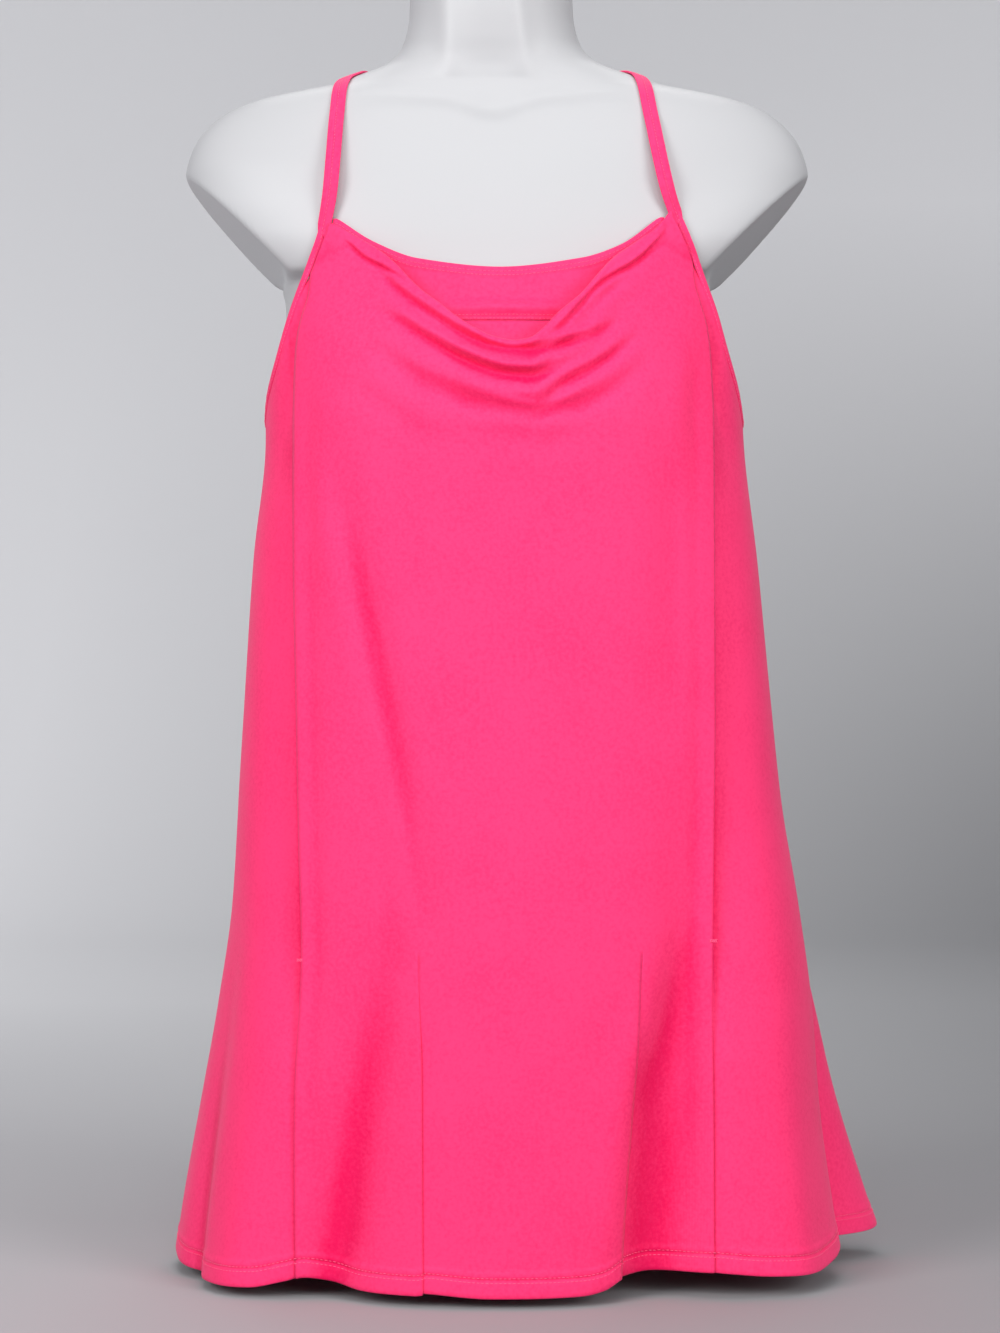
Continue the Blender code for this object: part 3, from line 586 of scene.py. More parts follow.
FORM_AT = Profile(FORM_SECTIONS)
NECK_LEAN_AT = Profile(NECK_LEAN)
HEM_AT = Profile(HEM_LIFTS)
CLOTH_AT = Profile(CLOTH_SECTIONS)
SEAMS = {-1: Profile(SEAM_LEFT), 1: Profile(SEAM_RIGHT)}
VENTS_AT = [Profile(line) for line in VENT_LINES]
COWL_EDGE_AT = Profile(COWL_EDGE)
INNER_EDGE_AT = Profile(INNER_EDGE)
SEAM_DROP_AT = Profile(SEAM_DROP)
ROLL_AT = Profile(ROLL_RADII)


def blend(a, b, s):
    return a + (b - a) * s


def ease(s):
    s = np.clip(s, 0.0, 1.0)
    return s * s * (3 - 2 * s)


def bump(distance, half_width):
    return np.exp(-((distance / half_width) ** 2))


def turned(difference):
    """An angle in degrees, brought to -180 to 180."""
    return (difference + 180.0) % 360.0 - 180.0


def points(x, y, z):
    return np.stack(np.broadcast_arrays(x, y, z), axis=-1).astype(float)


def unit(v):
    return v / np.maximum(np.linalg.norm(v, axis=-1, keepdims=True), 1e-12)


def oval(turn, left, right, front, back, power):
    """Across and depth of a rounded section at a turn in degrees, 0 at the front and 90 right."""
    s, c = np.sin(np.radians(turn)), np.cos(np.radians(turn))
    across = np.where(s >= 0, right, left)
    depth = np.where(c >= 0, front, back)
    x = np.sign(s) * across * np.abs(s) ** (2 / power)
    y = -np.sign(c) * depth * np.abs(c) ** (2 / power)
    return x, y


def form_front(x, z):
    """How far forward the dress form reaches, as a negative y."""
    half, front, _, power = FORM_AT(z)
    share = np.clip(1 - np.clip(np.abs(x) / half, 0, 1) ** power, 0, None)
    return -front * share ** (1 / power)


def push_off_form(place, gap):
    """The points, moved out from the upright axis until they are that far outside the form."""
    half, front, back, power = FORM_AT(place[..., 2])
    depth = np.where(place[..., 1] < 0, front, back)
    share = (np.abs(place[..., 0] / half) ** power + np.abs(place[..., 1] / depth) ** power) ** (1 / power)
    reach = np.hypot(place[..., 0], place[..., 1])
    least = 1 + gap / np.maximum(reach, 1e-6)
    grow = np.maximum(least / np.maximum(share, 1e-6), 1.0)
    return place * np.stack([grow, grow, np.ones_like(grow)], axis=-1)


def push_forward(place, gap):
    """Beside the straps, the points move out of the form straight forward and keep their place."""
    x, z = place[..., 0], place[..., 2]
    ahead = np.array(place)
    ahead[..., 1] = np.minimum(ahead[..., 1], form_front(x, z) - FORWARD_SHARE * gap)
    share = ease((z - FORWARD_FROM_Z) / FORWARD_BLEND) * (place[..., 1] < 0)
    return blend(push_off_form(place, gap), ahead, share[..., None])


def turn_at(x, z):
    """The turn, from -90 to 90 degrees, at which the front of the cloth's section has this x."""
    left, right, _, _ = CLOTH_AT(z)
    share = np.minimum(np.abs(x) / np.where(np.asarray(x) >= 0, right, left), 1.0)
    return np.sign(x) * np.degrees(np.arcsin(share ** (RING_POWER / 2)))


def long_folds(turn, z):
    """How far the folds that run down the cloth move it out."""
    out = 0.0
    for turn_top, turn_hem, top, half_width, stands in LONG_FOLDS:
        down = np.clip((top - z) / (top - HEM_Z), 0.0, 1.0)
        middle = blend(turn_top, turn_hem, down)
        out = out + stands * down**FOLD_GROWTH * bump(turned(turn - middle), half_width)
    for top, turn_top, foot, turn_foot, half_width, depth in DRAGS:
        down = (top - z) / (top - foot)
        inside = np.sin(np.pi * np.clip(down, 0, 1))
        out = out + depth * inside * bump(turned(turn - blend(turn_top, turn_foot, down)), half_width)
    return out


def section_point(turn, z):
    left, right, front, back = CLOTH_AT(z)
    x, y = oval(turn, left, right, front, back, RING_POWER)
    return points(x, y, z)


def section_normal(turn, z):
    """The level direction out of the cloth's section."""
    along = section_point(turn + 0.5, z) - section_point(turn - 0.5, z)
    return unit(points(along[..., 1], -along[..., 0], 0.0))


def section_turn(place):
    """The turn in degrees at which a point on or near the cloth's section lies."""
    left, right, front, back = CLOTH_AT(place[..., 2])
    s = (np.abs(place[..., 0]) / np.where(place[..., 0] >= 0, right, left)) ** (RING_POWER / 2)
    c = (np.abs(place[..., 1]) / np.where(place[..., 1] < 0, front, back)) ** (RING_POWER / 2)
    return np.degrees(np.arctan2(np.copysign(s, place[..., 0]), np.copysign(c, -place[..., 1])))


def cloth_point(turn, z, out=0.0, wall=WALL):
    """The outer face of the tank top."""
    moved = (long_folds(turn, z) + out)[..., None]
    return push_forward(section_point(turn, z) + section_normal(turn, z) * moved, wall + FORM_GAP)


def hem_height(turn):
    return HEM_Z + HEM_AT(turned(turn))


def hem_band(above_hem, along):
    """The turned-up hem stands a little proud and puckers along its stitching."""
    out = HEM_STEP * (1 - ease((above_hem - HEM_BAND) / HEM_STEP_BLEND + 0.5))
    ripple = 0.5 + 0.5 * np.sin(along * math.tau / HEM_PUCKER_PITCH + 1.7 * np.sin(along * 61))
    for place, half_width, least, further in HEM_WAVES:
        out = out + bump(above_hem - HEM_BAND - place, half_width) * (least + further * ripple)
    return out - HEM_ROLL * bump(above_hem, HEM_ROLL_WIDTH)


# Armholes


def armhole_curve(side):
    """Turn and height along the outer edge of an armhole, over 0 (front strap) to 1 (back strap)."""
    front = np.array(ARMHOLE_FRONT[side])
    back = np.array(ARMHOLE_BACK)
    turns = np.concatenate([np.abs(turn_at(front[:, 0], front[:, 1])), back[:, 0]])
    heights = np.concatenate([front[:, 1], back[:, 1]])
    steps = np.linalg.norm(np.diff(section_point(side * turns, heights), axis=0), axis=1)
    shares = np.concatenate([[0.0], np.cumsum(steps)]) / steps.sum()
    return Profile(np.stack([shares, side * turns, heights], axis=1))


ARMHOLES = {side: armhole_curve(side) for side in (-1, 1)}


def armhole_place(side, share, inset):
    """Turn and height at a share of an armhole's length, inset from its outer edge."""
    share = np.asarray(share, float)
    edge = ARMHOLES[side]
    here = section_point(*edge(share))
    along = unit(section_point(*edge(share + 0.01)) - section_point(*edge(share - 0.01)))
    inward = np.cross(section_normal(*edge(share)), along) * -side
    moved = here + inward * np.asarray(inset)[..., None]
    return section_turn(moved), moved[..., 2]


def panel_place(side, share):
    """Turn and height of the panels' edge beside an armhole's binding."""
    return armhole_place(side, share, BINDING_WIDTH + SEAM_GAP)


def first_past(test, low, high):
    """The least place between low and high from which test holds."""
    for _ in range(30):
        middle = (low + high) / 2
        if test(middle):
            high = middle
        else:
            low = middle
    return high


def front_limit(side):
    """Distance from the middle of the edge beside the binding, over height, in front."""
    turn, z = panel_place(side, np.linspace(0, 0.45, 31))
    x = np.abs(section_point(turn, z)[..., 0])
    rows = sorted((float(a), float(b)) for a, b, t in zip(z, x, turn) if abs(t) < 88)
    return Profile(rows)


FRONT_LIMITS = {side: front_limit(side) for side in (-1, 1)}
SIDE_TOP_Z = {
    side: first_past(lambda z: FRONT_LIMITS[side](z) < abs(SEAMS[side](z)), 0.58, 0.67)
    for side in (-1, 1)
}


def front_seam(side, z):
    """Where the front panel meets the side panel or, higher up, the binding."""
    return np.where(np.asarray(z) > SIDE_TOP_Z[side], side * FRONT_LIMITS[side](z), SEAMS[side](z))


def arm_ends(side):
    """Shares of an armhole's length where the front, the side and the back panel meet."""
    at_side = first_past(lambda t: abs(panel_place(side, t)[0]) > SIDE_SEAM_TURN[side], 0.1, 0.9)
    at_top = first_past(lambda t: panel_place(side, t)[1] < SIDE_TOP_Z[side], 0.0, at_side)
    return at_top, at_side


# The cloth's grids


def spread(*stretches):
    """Shares from 0 to 1 from stretches of (end, steps)."""
    shares, start = [0.0], 0.0
    for end, steps in stretches:
        shares += [blend(start, end, k / steps) for k in range(1, steps + 1)]
        start = end
    return np.array(shares)


def crease_out(across, height, table):
    """How far a table's creases move the cloth out, each with a lit and a shaded side."""
    out = np.zeros_like(across)
    for line, half_width, stands in table:
        rows = np.array(line)
        share = np.linspace(0, 1, len(rows))
        fine = Profile(np.column_stack([share, rows]))(np.linspace(0, 1, 4 * len(rows)))
        fine = np.stack(fine, axis=-1)
        nearest = np.full(across.shape, 1e9)
        signed = np.zeros(across.shape)
        strength = np.zeros(across.shape)
        for start, end in zip(fine, fine[1:]):
            step = end - start
            dx, dz = across - start[0], height - start[1]
            t = np.clip((dx * step[0] + dz * step[1]) / (step[0] ** 2 + step[1] ** 2), 0, 1)
            away = np.hypot(dx - t * step[0], dz - t * step[1])
            side = np.sign(step[0] * dz - step[1] * dx)
            closer = away < nearest
            nearest = np.where(closer, away, nearest)
            signed = np.where(closer, side * away, signed)
            strength = np.where(closer, start[2] + t * step[2], strength)
        s = signed / half_width
        out += stands * strength * (s * 2.33 - 0.25) * np.exp(-s * s)
    return out


def cowl_foot(x):
    """The height at which the cowl's folds end."""
    side = ease(np.abs(x - COWL_MIDDLE_X) / COWL_REACH)
    return COWL_EDGE_AT(x) - blend(COWL_DEPTH_MIDDLE, COWL_DEPTH_SIDE, side)


def cowl_folds(x, z):
    """How far the cowl's folds move the cloth out."""
    edge = COWL_EDGE_AT(x)
    down = (edge - z) / (edge - cowl_foot(x))
    out = 0.0
    for place, half_width, stands, shift in COWL_FOLDS:
        across = (x - COWL_MIDDLE_X - shift) / COWL_REACH
        fade = np.clip(1 - across * across, 0, None) ** 1.5
        out = out + stands * fade * bump(down - place, half_width)
    return out


def cowl_fullness(x, z):
    """How far the cowl falls forward of the chest round its edge."""
    across = np.minimum(np.abs(x - COWL_MIDDLE_X) / COWL_REACH, 1.0)
    below = np.clip(COWL_EDGE_AT(x) - z, 0, None)
    return COWL_FULLNESS * (1 - across * across) ** 2 * bump(below, COWL_FULLNESS_DEPTH)


def front_point(x, z, out=0.0):
    """The outer face of the front panel."""
    cowl = COWL_FOLD_SHARE * cowl_folds(x, z) + cowl_fullness(x, z)
    place = cloth_point(turn_at(x, z), z, cowl + out)
    layers = FORM_GAP + WALL + LAYER_GAP + 2 * ROLL_AT(x)
    place[..., 1] = np.minimum(place[..., 1], form_front(place[..., 0], z) - layers)
    return place


def vent_shares(x, z):
    """Lap and step beside the front's vents: -1 on a left-hand edge to 1 on a right-hand one."""
    lap = np.zeros_like(x)
    for vent in VENTS_AT:
        away = x - vent(z)
        lap += np.sign(away) * bump(away, VENT_REACH)
    return lap * ease((VENT_TOP_Z - z) / VENT_FADE)


FRONT_ROWS = spread((0.16, 96), (0.955, 96), (1.0, 34))
ROLL_ROWS = 10
# The side of a vent that a point exactly on it belongs to is told by this nudge
NUDGE = 1e-9
TOP_SEARCH_Z = 0.64


def front_strip(strip, columns):
    """The grid of one strip of the front, between two of its seams and vents."""

    def marks(z):
        rows = [front_seam(-1, z) + SEAM_GAP / 2, *(vent(z) for vent in VENTS_AT)]
        return [*rows, front_seam(1, z) - SEAM_GAP / 2]

    inside = np.linspace(0, 1, columns + 1)

    def x_at(z):
        found = marks(z)
        return blend(found[strip], found[strip + 1], inside if np.ndim(z) < 2 else inside[:, None])

    x_top = x_at(np.full(columns + 1, TOP_SEARCH_Z))
    for _ in range(30):
        x_top = (x_top + x_at(COWL_EDGE_AT(x_top))) / 2
    top = COWL_EDGE_AT(x_top)
    radius = ROLL_AT(x_top)
    foot = hem_height(turn_at(x_at(np.full(columns + 1, HEM_Z)), HEM_Z))
    shares = FRONT_ROWS[None, :]
    z = (top - radius)[:, None] + (foot - top + radius)[:, None] * shares
    x = x_at(z)
    nudge = np.zeros_like(x)
    nudge[0, :], nudge[-1, :] = NUDGE, -NUDGE
    lap = vent_shares(x + nudge, z)
    detail = crease_out(x, z, FRONT_CREASES) + hem_band(z - foot[:, None], x) + seam_lip(x, z)
    body = front_point(x - lap * VENT_LAP, z, detail - lap * VENT_STEP)
    ends = front_point(x_top, top - radius, detail[:, 0])
    body[:, 0, :] = ends
    out = section_normal(turn_at(x_top, top), top)
    up = np.array([0.0, 0.0, 1.0])
    centre = ends - out * radius[:, None]
    facing = blend(FACING_LEAST, FACING_DEPTH, ease(1 - np.abs(x_top - COWL_MIDDLE_X) / COWL_REACH))
    rolled = []
    for k in range(1, ROLL_ROWS + 1):
        angle = np.pi * k / ROLL_ROWS
        rolled.append(centre + (out * np.cos(angle) + up * np.sin(angle)) * radius[:, None])
    for share in FACING_ROWS:
        rolled.append(rolled[ROLL_ROWS - 1] - up * (facing * share)[:, None])
    for place in rolled[ROLL_ROWS - 1:]:
        least = form_front(place[:, 0], place[:, 2]) - FORM_GAP - WALL - LAYER_GAP
        place[:, 1] = np.minimum(place[:, 1], least)
    return np.concatenate([np.stack(rolled[::-1], axis=1), body], axis=1)


def seam_lip(x, z):
    """The front panel's long edges are pressed and stand a little proud of the dropped sides."""
    out = 0.0
    for side in (-1, 1):
        away = np.abs(x - front_seam(side, z))
        for place, half_width, stands in SEAM_LIPS:
            out = out + stands * bump(away - place, half_width)
    top, top_blend = SEAM_LIP_TOP
    foot, foot_blend = SEAM_LIP_FOOT
    return out * ease((top - z) / top_blend) * ease((z - foot) / foot_blend)


def seam_drop(side, turn, z):
    """How far a side panel falls in beside the seam, where the front panel lies over it."""
    seam = section_point(turn_at(front_seam(side, z), z), z)
    away = np.linalg.norm(section_point(turn, z) - seam, axis=-1)
    near = ease(away / SEAM_DROP_NEAR)
    return -SEAM_DROP_AT(z) * near * bump(np.clip(away - SEAM_DROP_NEAR, 0, None), SEAM_DROP_FAR)


SIDE_ROWS = spread((0.10, 40), (0.955, 100), (1.0, 34))
SIDE_COLUMNS = spread((0.16, 18), (1.0, 38))


def side_grid(side):
    """The grid of a side panel, from its edge under the front to the side seam."""
    at_top, at_side = arm_ends(side)
    along = SIDE_COLUMNS
    reach = np.full(len(along), BINDING_WIDTH - TUCK_LAP)
    top_turn, top = armhole_place(side, blend(at_top - TUCK_PAST_TOP, at_side, along), reach)
    end = side * (SIDE_SEAM_TURN[side] - SIDE_SEAM_GAP / 2)
    seam_top = turn_at(front_seam(side, top), top)
    share_top = np.clip((top_turn - seam_top) / (end - seam_top), 0, 1)
    foot = hem_height(side * blend(SIDE_HEM_TURN, SIDE_SEAM_TURN[side], along))
    z = top[:, None] + (foot - top)[:, None] * SIDE_ROWS[None, :]
    share = blend(share_top[:, None], along[:, None], ease(3 * SIDE_ROWS)[None, :])
    closing = blend(1.0, SIDE_VENT_LEFT_OPEN, ease((SIDE_VENT_SHUTS_Z - z) / SIDE_VENT_SHUTS_OVER))
    opening = SIDE_VENT_GAP[side] * ease((VENT_TOP_Z - z) / SIDE_VENT_OPENS_OVER) * closing
    seam = turn_at(front_seam(side, z) + side * (SEAM_GAP / 2 + opening), z)
    turn = blend(seam, end, share)
    place = section_point(turn, z)
    away = np.linalg.norm(place - section_point(seam, z), axis=-1)
    out = ease((top[:, None] - z) / SEAM_DROP_START) * seam_drop(side, turn, z)
    out = out - SEAM_STEP * bump(away, SEAM_STEP_WIDTH)
    out = out + hem_band(z - foot[:, None], place[..., 0] - place[..., 1])
    out = out - TUCK_DEPTH * (1 - ease((top[:, None] - z) / TUCK_FADE))
    edge_z = z[0]
    above_vent = edge_z - VENT_TOP_Z
    hidden = []
    for share_under in UNDERLAP_SHARES:
        under = UNDERLAP * share_under * blend(UNDERLAP_AT_VENT, 1.0, ease(above_vent / 0.02))
        inside = turn_at(front_seam(side, edge_z) + side * (opening[0] - under), edge_z)
        depth = blend(UNDERLAP_DEEP, UNDERLAP_SHALLOW, ease((above_vent + 0.02) / 0.03)) * share_under
        hidden.append(cloth_point(inside, edge_z, out[0] - depth))
    found = np.concatenate([np.stack(hidden), cloth_point(turn, z, out)], axis=0)
    return found if side > 0 else found[::-1]


NECK_COLUMNS = 40
BACK_ROWS = spread((0.12, 50), (0.955, 90), (1.0, 34))


def back_grid(columns=52):
    """The grid of the back, from the right side seam round to the left one."""
    _, right_side = arm_ends(1)
    _, left_side = arm_ends(-1)
    right = panel_place(1, np.linspace(right_side, BACK_NECK_SHARE, columns + 1))
    left = panel_place(-1, np.linspace(BACK_NECK_SHARE, left_side, columns + 1))
    left_turn = left[0] % 360
    share = np.linspace(0, 1, NECK_COLUMNS + 1)[1:-1]
    neck_turn = blend(right[0][-1], left_turn[0], share)
    neck_top = blend(right[1][-1], left[1][0], share) - BACK_NECK_DIP * (1 - (2 * share - 1) ** 2)
    top_turn = np.concatenate([right[0], neck_turn, left_turn])
    top = np.concatenate([right[1], neck_top, left[1]])
    start = SIDE_SEAM_TURN[1] + SIDE_SEAM_GAP / 2
    end = 360 - SIDE_SEAM_TURN[-1] - SIDE_SEAM_GAP / 2
    even = np.linspace(start, end, len(top))
    foot = hem_height(even)
    z = top[:, None] + (foot - top)[:, None] * BACK_ROWS[None, :]
    turn = blend(np.clip(top_turn, start, end)[:, None], even[:, None], ease(2 * BACK_ROWS)[None, :])
    place = section_point(turn, z)
    detail = hem_band(z - foot[:, None], place[..., 0] * 1.3 + place[..., 1])
    detail = detail + back_creases(turn, z)
    return cloth_point(turn, z, detail)


# Soft folds of the hidden back. Columns: turn and height at the top, turn and height at the foot,
# half width in degrees, how far it stands out.
BACK_FOLDS = (
    (172.0, 0.66, 160.0, 0.30, 4.5, -0.0022),
    (190.0, 0.66, 203.0, 0.28, 4.5, -0.0024),
    (181.0, 0.60, 178.0, 0.20, 6.0, 0.0020),
    (140.0, 0.58, 150.0, 0.16, 6.0, -0.0026),
    (222.0, 0.58, 211.0, 0.15, 6.0, -0.0022),
    (240.0, 0.54, 245.0, 0.10, 7.0, 0.0018),
    (118.0, 0.54, 124.0, 0.12, 6.0, 0.0016),
)


def back_creases(turn, z):
    out = 0.0
    for turn_top, top, turn_foot, foot, half_width, stands in BACK_FOLDS:
        down = (top - z) / (top - foot)
        fade = np.sin(np.pi * np.clip(down, 0, 1))
        middle = blend(turn_top, turn_foot, np.clip(down, 0, 1))
        out = out + stands * fade * bump(turn % 360 - middle, half_width)
    return out


BINDING_COLUMNS = 8


def binding_grid(side, steps=170):
    """The folded tape round an armhole: crowned, with its stitching pulled in near one edge."""
    shares = np.linspace(0.0, 1.0, steps + 1)
    across = np.linspace(0, 1, BINDING_COLUMNS + 1)
    if side > 0:
        across = across[::-1]
    both = (len(across), len(shares))
    inset = np.broadcast_to((across * BINDING_WIDTH)[:, None], both)
    turn, z = armhole_place(side, np.broadcast_to(shares[None, :], both), inset)
    groove_at, groove_width, groove_depth = BINDING_GROOVE
    ripple_at, ripple_width, ripple_height = BINDING_RIPPLE
    crown = -BINDING_CROWN * np.abs(2 * across - 1) ** 5
    crown = crown - groove_depth * bump(across - groove_at, groove_width)
    ripple = ripple_height * np.sin(shares * 330 + 2 * np.sin(shares * 47))
    puckers = ripple[None, :] * bump(across - ripple_at, ripple_width)[:, None]
    return cloth_point(turn, z, BINDING_RISE + BINDING_PROUD + crown[:, None] + puckers, BINDING_THICK)


def inner_point(x, z, out=0.0):
    """The outer face of the inner front, which lies on the form."""
    step = 0.001
    slope_x = (form_front(x + step, z) - form_front(x - step, z)) / (2 * step)
    slope_z = (form_front(x, z + step) - form_front(x, z - step)) / (2 * step)
    normal = unit(points(slope_x, -1.0, slope_z))
    base = points(x, form_front(x, z), z)
    return base + normal * np.broadcast_to(INNER_GAP + WALL + out, np.shape(x))[..., None]


def yoke_swell(x, z):
    """The yoke hangs out a little just above its seam, and turns in again at the seam."""
    across = (x - YOKE_SWELL_X) / YOKE_SWELL_REACH
    return YOKE_SWELL * bump(z - YOKE_SWELL_Z, YOKE_SWELL_WIDTH) * np.clip(1 - across**2, 0, 1)


def inner_grid(top_at, foot_at, rows, banded):
    """The grid of one part of the inner front. A banded one has a sewn band along its top."""
    left, right = INNER_EDGE[0][0] - INNER_PAST_EDGE, INNER_EDGE[-1][0] + INNER_PAST_EDGE
    x = np.linspace(left, right, INNER_COLUMNS + 1)[:, None]
    shares = np.linspace(0, 1, rows + 1)[None, :]
    top, foot = top_at(x), foot_at(x)
    z = top + (foot - top) * shares
    x = np.broadcast_to(x, z.shape)
    out = np.zeros_like(z)
    if banded:
        below = top - z
        out += INNER_BAND_STEP * (1 - ease((below - INNER_HEM_BAND) / 0.0010))
        ripple = 0.5 + 0.5 * np.sin(x * math.tau / INNER_PUCKER_PITCH + 1.3 * np.sin(x * 83))
        out -= bump(below - INNER_HEM_BAND, 0.0012) * INNER_PULL * (1 + ripple)
        out += yoke_swell(x, z)
    return inner_point(x, z, out)


# Meshes


def new_object(name, data):
    made = bpy.data.objects.new(name, data)
    bpy.context.scene.collection.objects.link(made)
    return made


def new_mesh(name, places, faces):
    """A mesh with smooth shading."""
    mesh = bpy.data.meshes.new(name)
    mesh.from_pydata(places, [], faces)
    mesh.polygons.foreach_set("use_smooth", np.ones(len(faces), bool))
    return mesh


def with_modifier(mesh, kind, set_up):
    """A plain mesh with the result of one modifier, whose values set_up gives."""
    holder = new_object("holder", mesh)
    set_up(holder.modifiers.new("step", kind))
    made = bpy.data.meshes.new_from_object(holder.evaluated_get(bpy.context.evaluated_depsgraph_get()))
    made.name = mesh.name
    bpy.data.objects.remove(holder)
    return made


def grid_quads(columns, rows, start=0):
    """The faces of a grid whose points are counted down each column, from start on."""
    i, j = np.meshgrid(np.arange(columns - 1), np.arange(rows - 1), indexing="ij")
    a = start + i * rows + j
    return np.stack([a, a + 1, a + rows + 1, a + rows], axis=-1).reshape(-1, 4)


def ring_quads(rings, around):
    """The faces between rings of points."""
    faces = []
    for low in range(0, (rings - 1) * around, around):
        for k in range(around):
            after = (k + 1) % around
            faces.append((low + k, low + after, low + around + after, low + around + k))
    return faces


def outward(grid):
    return unit(np.cross(np.gradient(grid, axis=1), np.gradient(grid, axis=0)))


def smoothed(grid, turns):
    found = grid.copy()
    for _ in range(turns):
        found[1:-1] = (found[:-2] + 2 * found[1:-1] + found[2:]) / 4
        found[:, 1:-1] = (found[:, :-2] + 2 * found[:, 1:-1] + found[:, 2:]) / 4
    return found


# What counts as lying in a fold, whose pink gets painted shade. Columns: turns of smoothing that the
# surface is set against, the depth that counts in full, its share.
FOLD_SHADE_KINDS = ((30, 0.0011, 0.70), (300, 0.0070, 0.35))
# Faces turned down get painted shade too: the downward slant that counts in full, and its share
DOWN_FACING_SHADE_FULL = 1 / 1.3
DOWN_FACING_SHADE_SHARE = 0.8


def fold_shade_mask(grid):
    """Painted shade for each point, from 0 up: how deep it lies in a fold, or how far it faces down."""
    out = outward(grid)
    down = -smoothed(out, 3)[..., 2]
    found = np.clip(down / DOWN_FACING_SHADE_FULL, 0, 1) * DOWN_FACING_SHADE_SHARE
    for turns, full, share in FOLD_SHADE_KINDS:
        depth = ((smoothed(grid, turns) - grid) * out).sum(axis=-1)
        found = found + np.clip(depth / full, 0, 1) * share
    return found


def grid_mesh(name, grids):
    """One mesh from grids of points. Columns run right round the body and rows run down."""
    places, faces, uvs, folds = [], [], [], []
    start = 0
    across_so_far = 0.0
    for grid in grids:
        columns, rows = grid.shape[:2]
        places.append(grid.reshape(-1, 3))
        folds.append(fold_shade_mask(grid).reshape(-1))
        faces.append(grid_quads(columns, rows, start))
        widths = np.linalg.norm(np.diff(grid, axis=0), axis=-1).mean(axis=1)
        heights = np.linalg.norm(np.diff(grid, axis=1), axis=-1)
        u = across_so_far + np.concatenate([[0.0], np.cumsum(widths)])
        v = -np.concatenate([np.zeros((columns, 1)), np.cumsum(heights, axis=1)], axis=1)
        v = v - v[:, -1:]
        uvs.append(np.stack([np.broadcast_to(u[:, None], v.shape), v], axis=-1).reshape(-1, 2))
        across_so_far = u[-1]
        start += columns * rows
    faces, uvs = np.concatenate(faces), np.concatenate(uvs)
    mesh = new_mesh(name, np.concatenate(places).tolist(), faces.tolist())
    layer = mesh.uv_layers.new(name="cloth")
    layer.data.foreach_set("uv", uvs[faces.reshape(-1)].astype(np.float32).ravel())
    # The fold attribute is the mask of painted shade in creases and on faces turned down
    deep = mesh.attributes.new("fold", "FLOAT", "POINT")
    deep.data.foreach_set("value", np.concatenate(folds).astype(np.float32))
    work = bmesh.new()
    work.from_mesh(mesh)
    bmesh.ops.remove_doubles(work, verts=work.verts, dist=0.00002)
    work.to_mesh(mesh)
    work.free()
    mesh.update()
    return mesh


def add_piece(name, mesh, material, *replaced, slot="jersey"):
    piece = new_object(name, mesh)
    if material is not None:
        mesh.materials.clear()
        mesh.materials.append(material)
    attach(piece, "root")
    if replaced:
        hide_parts(*replaced)
    return piece


def add_wall(mesh):
    """The mesh with a wall behind its outer face."""

    def set_up(wall):
        wall.thickness = SHELL_WALL
        wall.offset = -1.0

    return with_modifier(mesh, "SOLIDIFY", set_up)


# The dress form

FORM_AROUND = 192
FORM_HEIGHTS = spread((0.012, 6), (0.62, 59), (0.80, 109), (0.875, 39))
FORM_SHARP = math.radians(50)
ARM_CUT_SOFT = 0.0022
# Collar bones. Rows of a line: across, height. Each bone stands out by its rise and half width,
# and the skin dips below it.
COLLAR_LINES = (
    ((-0.088, 0.7690), (-0.053, 0.7680), (-0.030, 0.7670), (-0.0025, 0.7560)),
    ((-0.0025, 0.7560), (0.024, 0.7668), (0.0473, 0.7691), (0.086, 0.7720)),
)
COLLAR_RISE = 0.0013
COLLAR_WIDTH = 0.0045
COLLAR_FADE = 0.024
COLLAR_DIP_BELOW = 0.009
COLLAR_DIP_SHARE = 0.8
COLLAR_DIP_WIDER = 1.6
NECK_HOLLOW = (-0.0025, 0.7600)
NECK_HOLLOW_WIDTH = 0.010
NECK_HOLLOW_DEPTH = 0.0035
# The neck's cords. Columns: across at their foot, half width, how far they stand out.
NECK_CORDS = ((-0.0290, 0.0085, 0.0022), (0.0170, 0.0085, 0.0022))
CORD_LEAN = 0.10


def collar_bone(x, z, line, half_width):
    """A ridge of height 1 along a line that runs from left to right."""
    rows = np.array(line)
    height = np.interp(x, rows[:, 0], rows[:, 1])
    from_left = ease((x - rows[0, 0]) / COLLAR_FADE + 0.5)
    return from_left * ease((rows[-1, 0] - x) / COLLAR_FADE + 0.5) * bump(z - height, half_width)


def form_relief(x, z):
    """Soft collar bones, the dip between them and the neck's two cords, on the front only."""
    out = 0.0
    for line in COLLAR_LINES:
        dip = collar_bone(x, z + COLLAR_DIP_BELOW, line, COLLAR_WIDTH * COLLAR_DIP_WIDER)
        out = out - COLLAR_RISE * (collar_bone(x, z, line, COLLAR_WIDTH) - COLLAR_DIP_SHARE * dip)
    hollow = bump(x - NECK_HOLLOW[0], NECK_HOLLOW_WIDTH) * bump(z - NECK_HOLLOW[1], NECK_HOLLOW_WIDTH)
    out = out - NECK_HOLLOW_DEPTH * hollow
    for across, half_width, stands in NECK_CORDS:
        ends = ease((z - 0.772) / 0.02) * ease((0.862 - z) / 0.03)
        out = out + stands * bump(x - across + CORD_LEAN * (z - 0.78), half_width) * ends
    return out


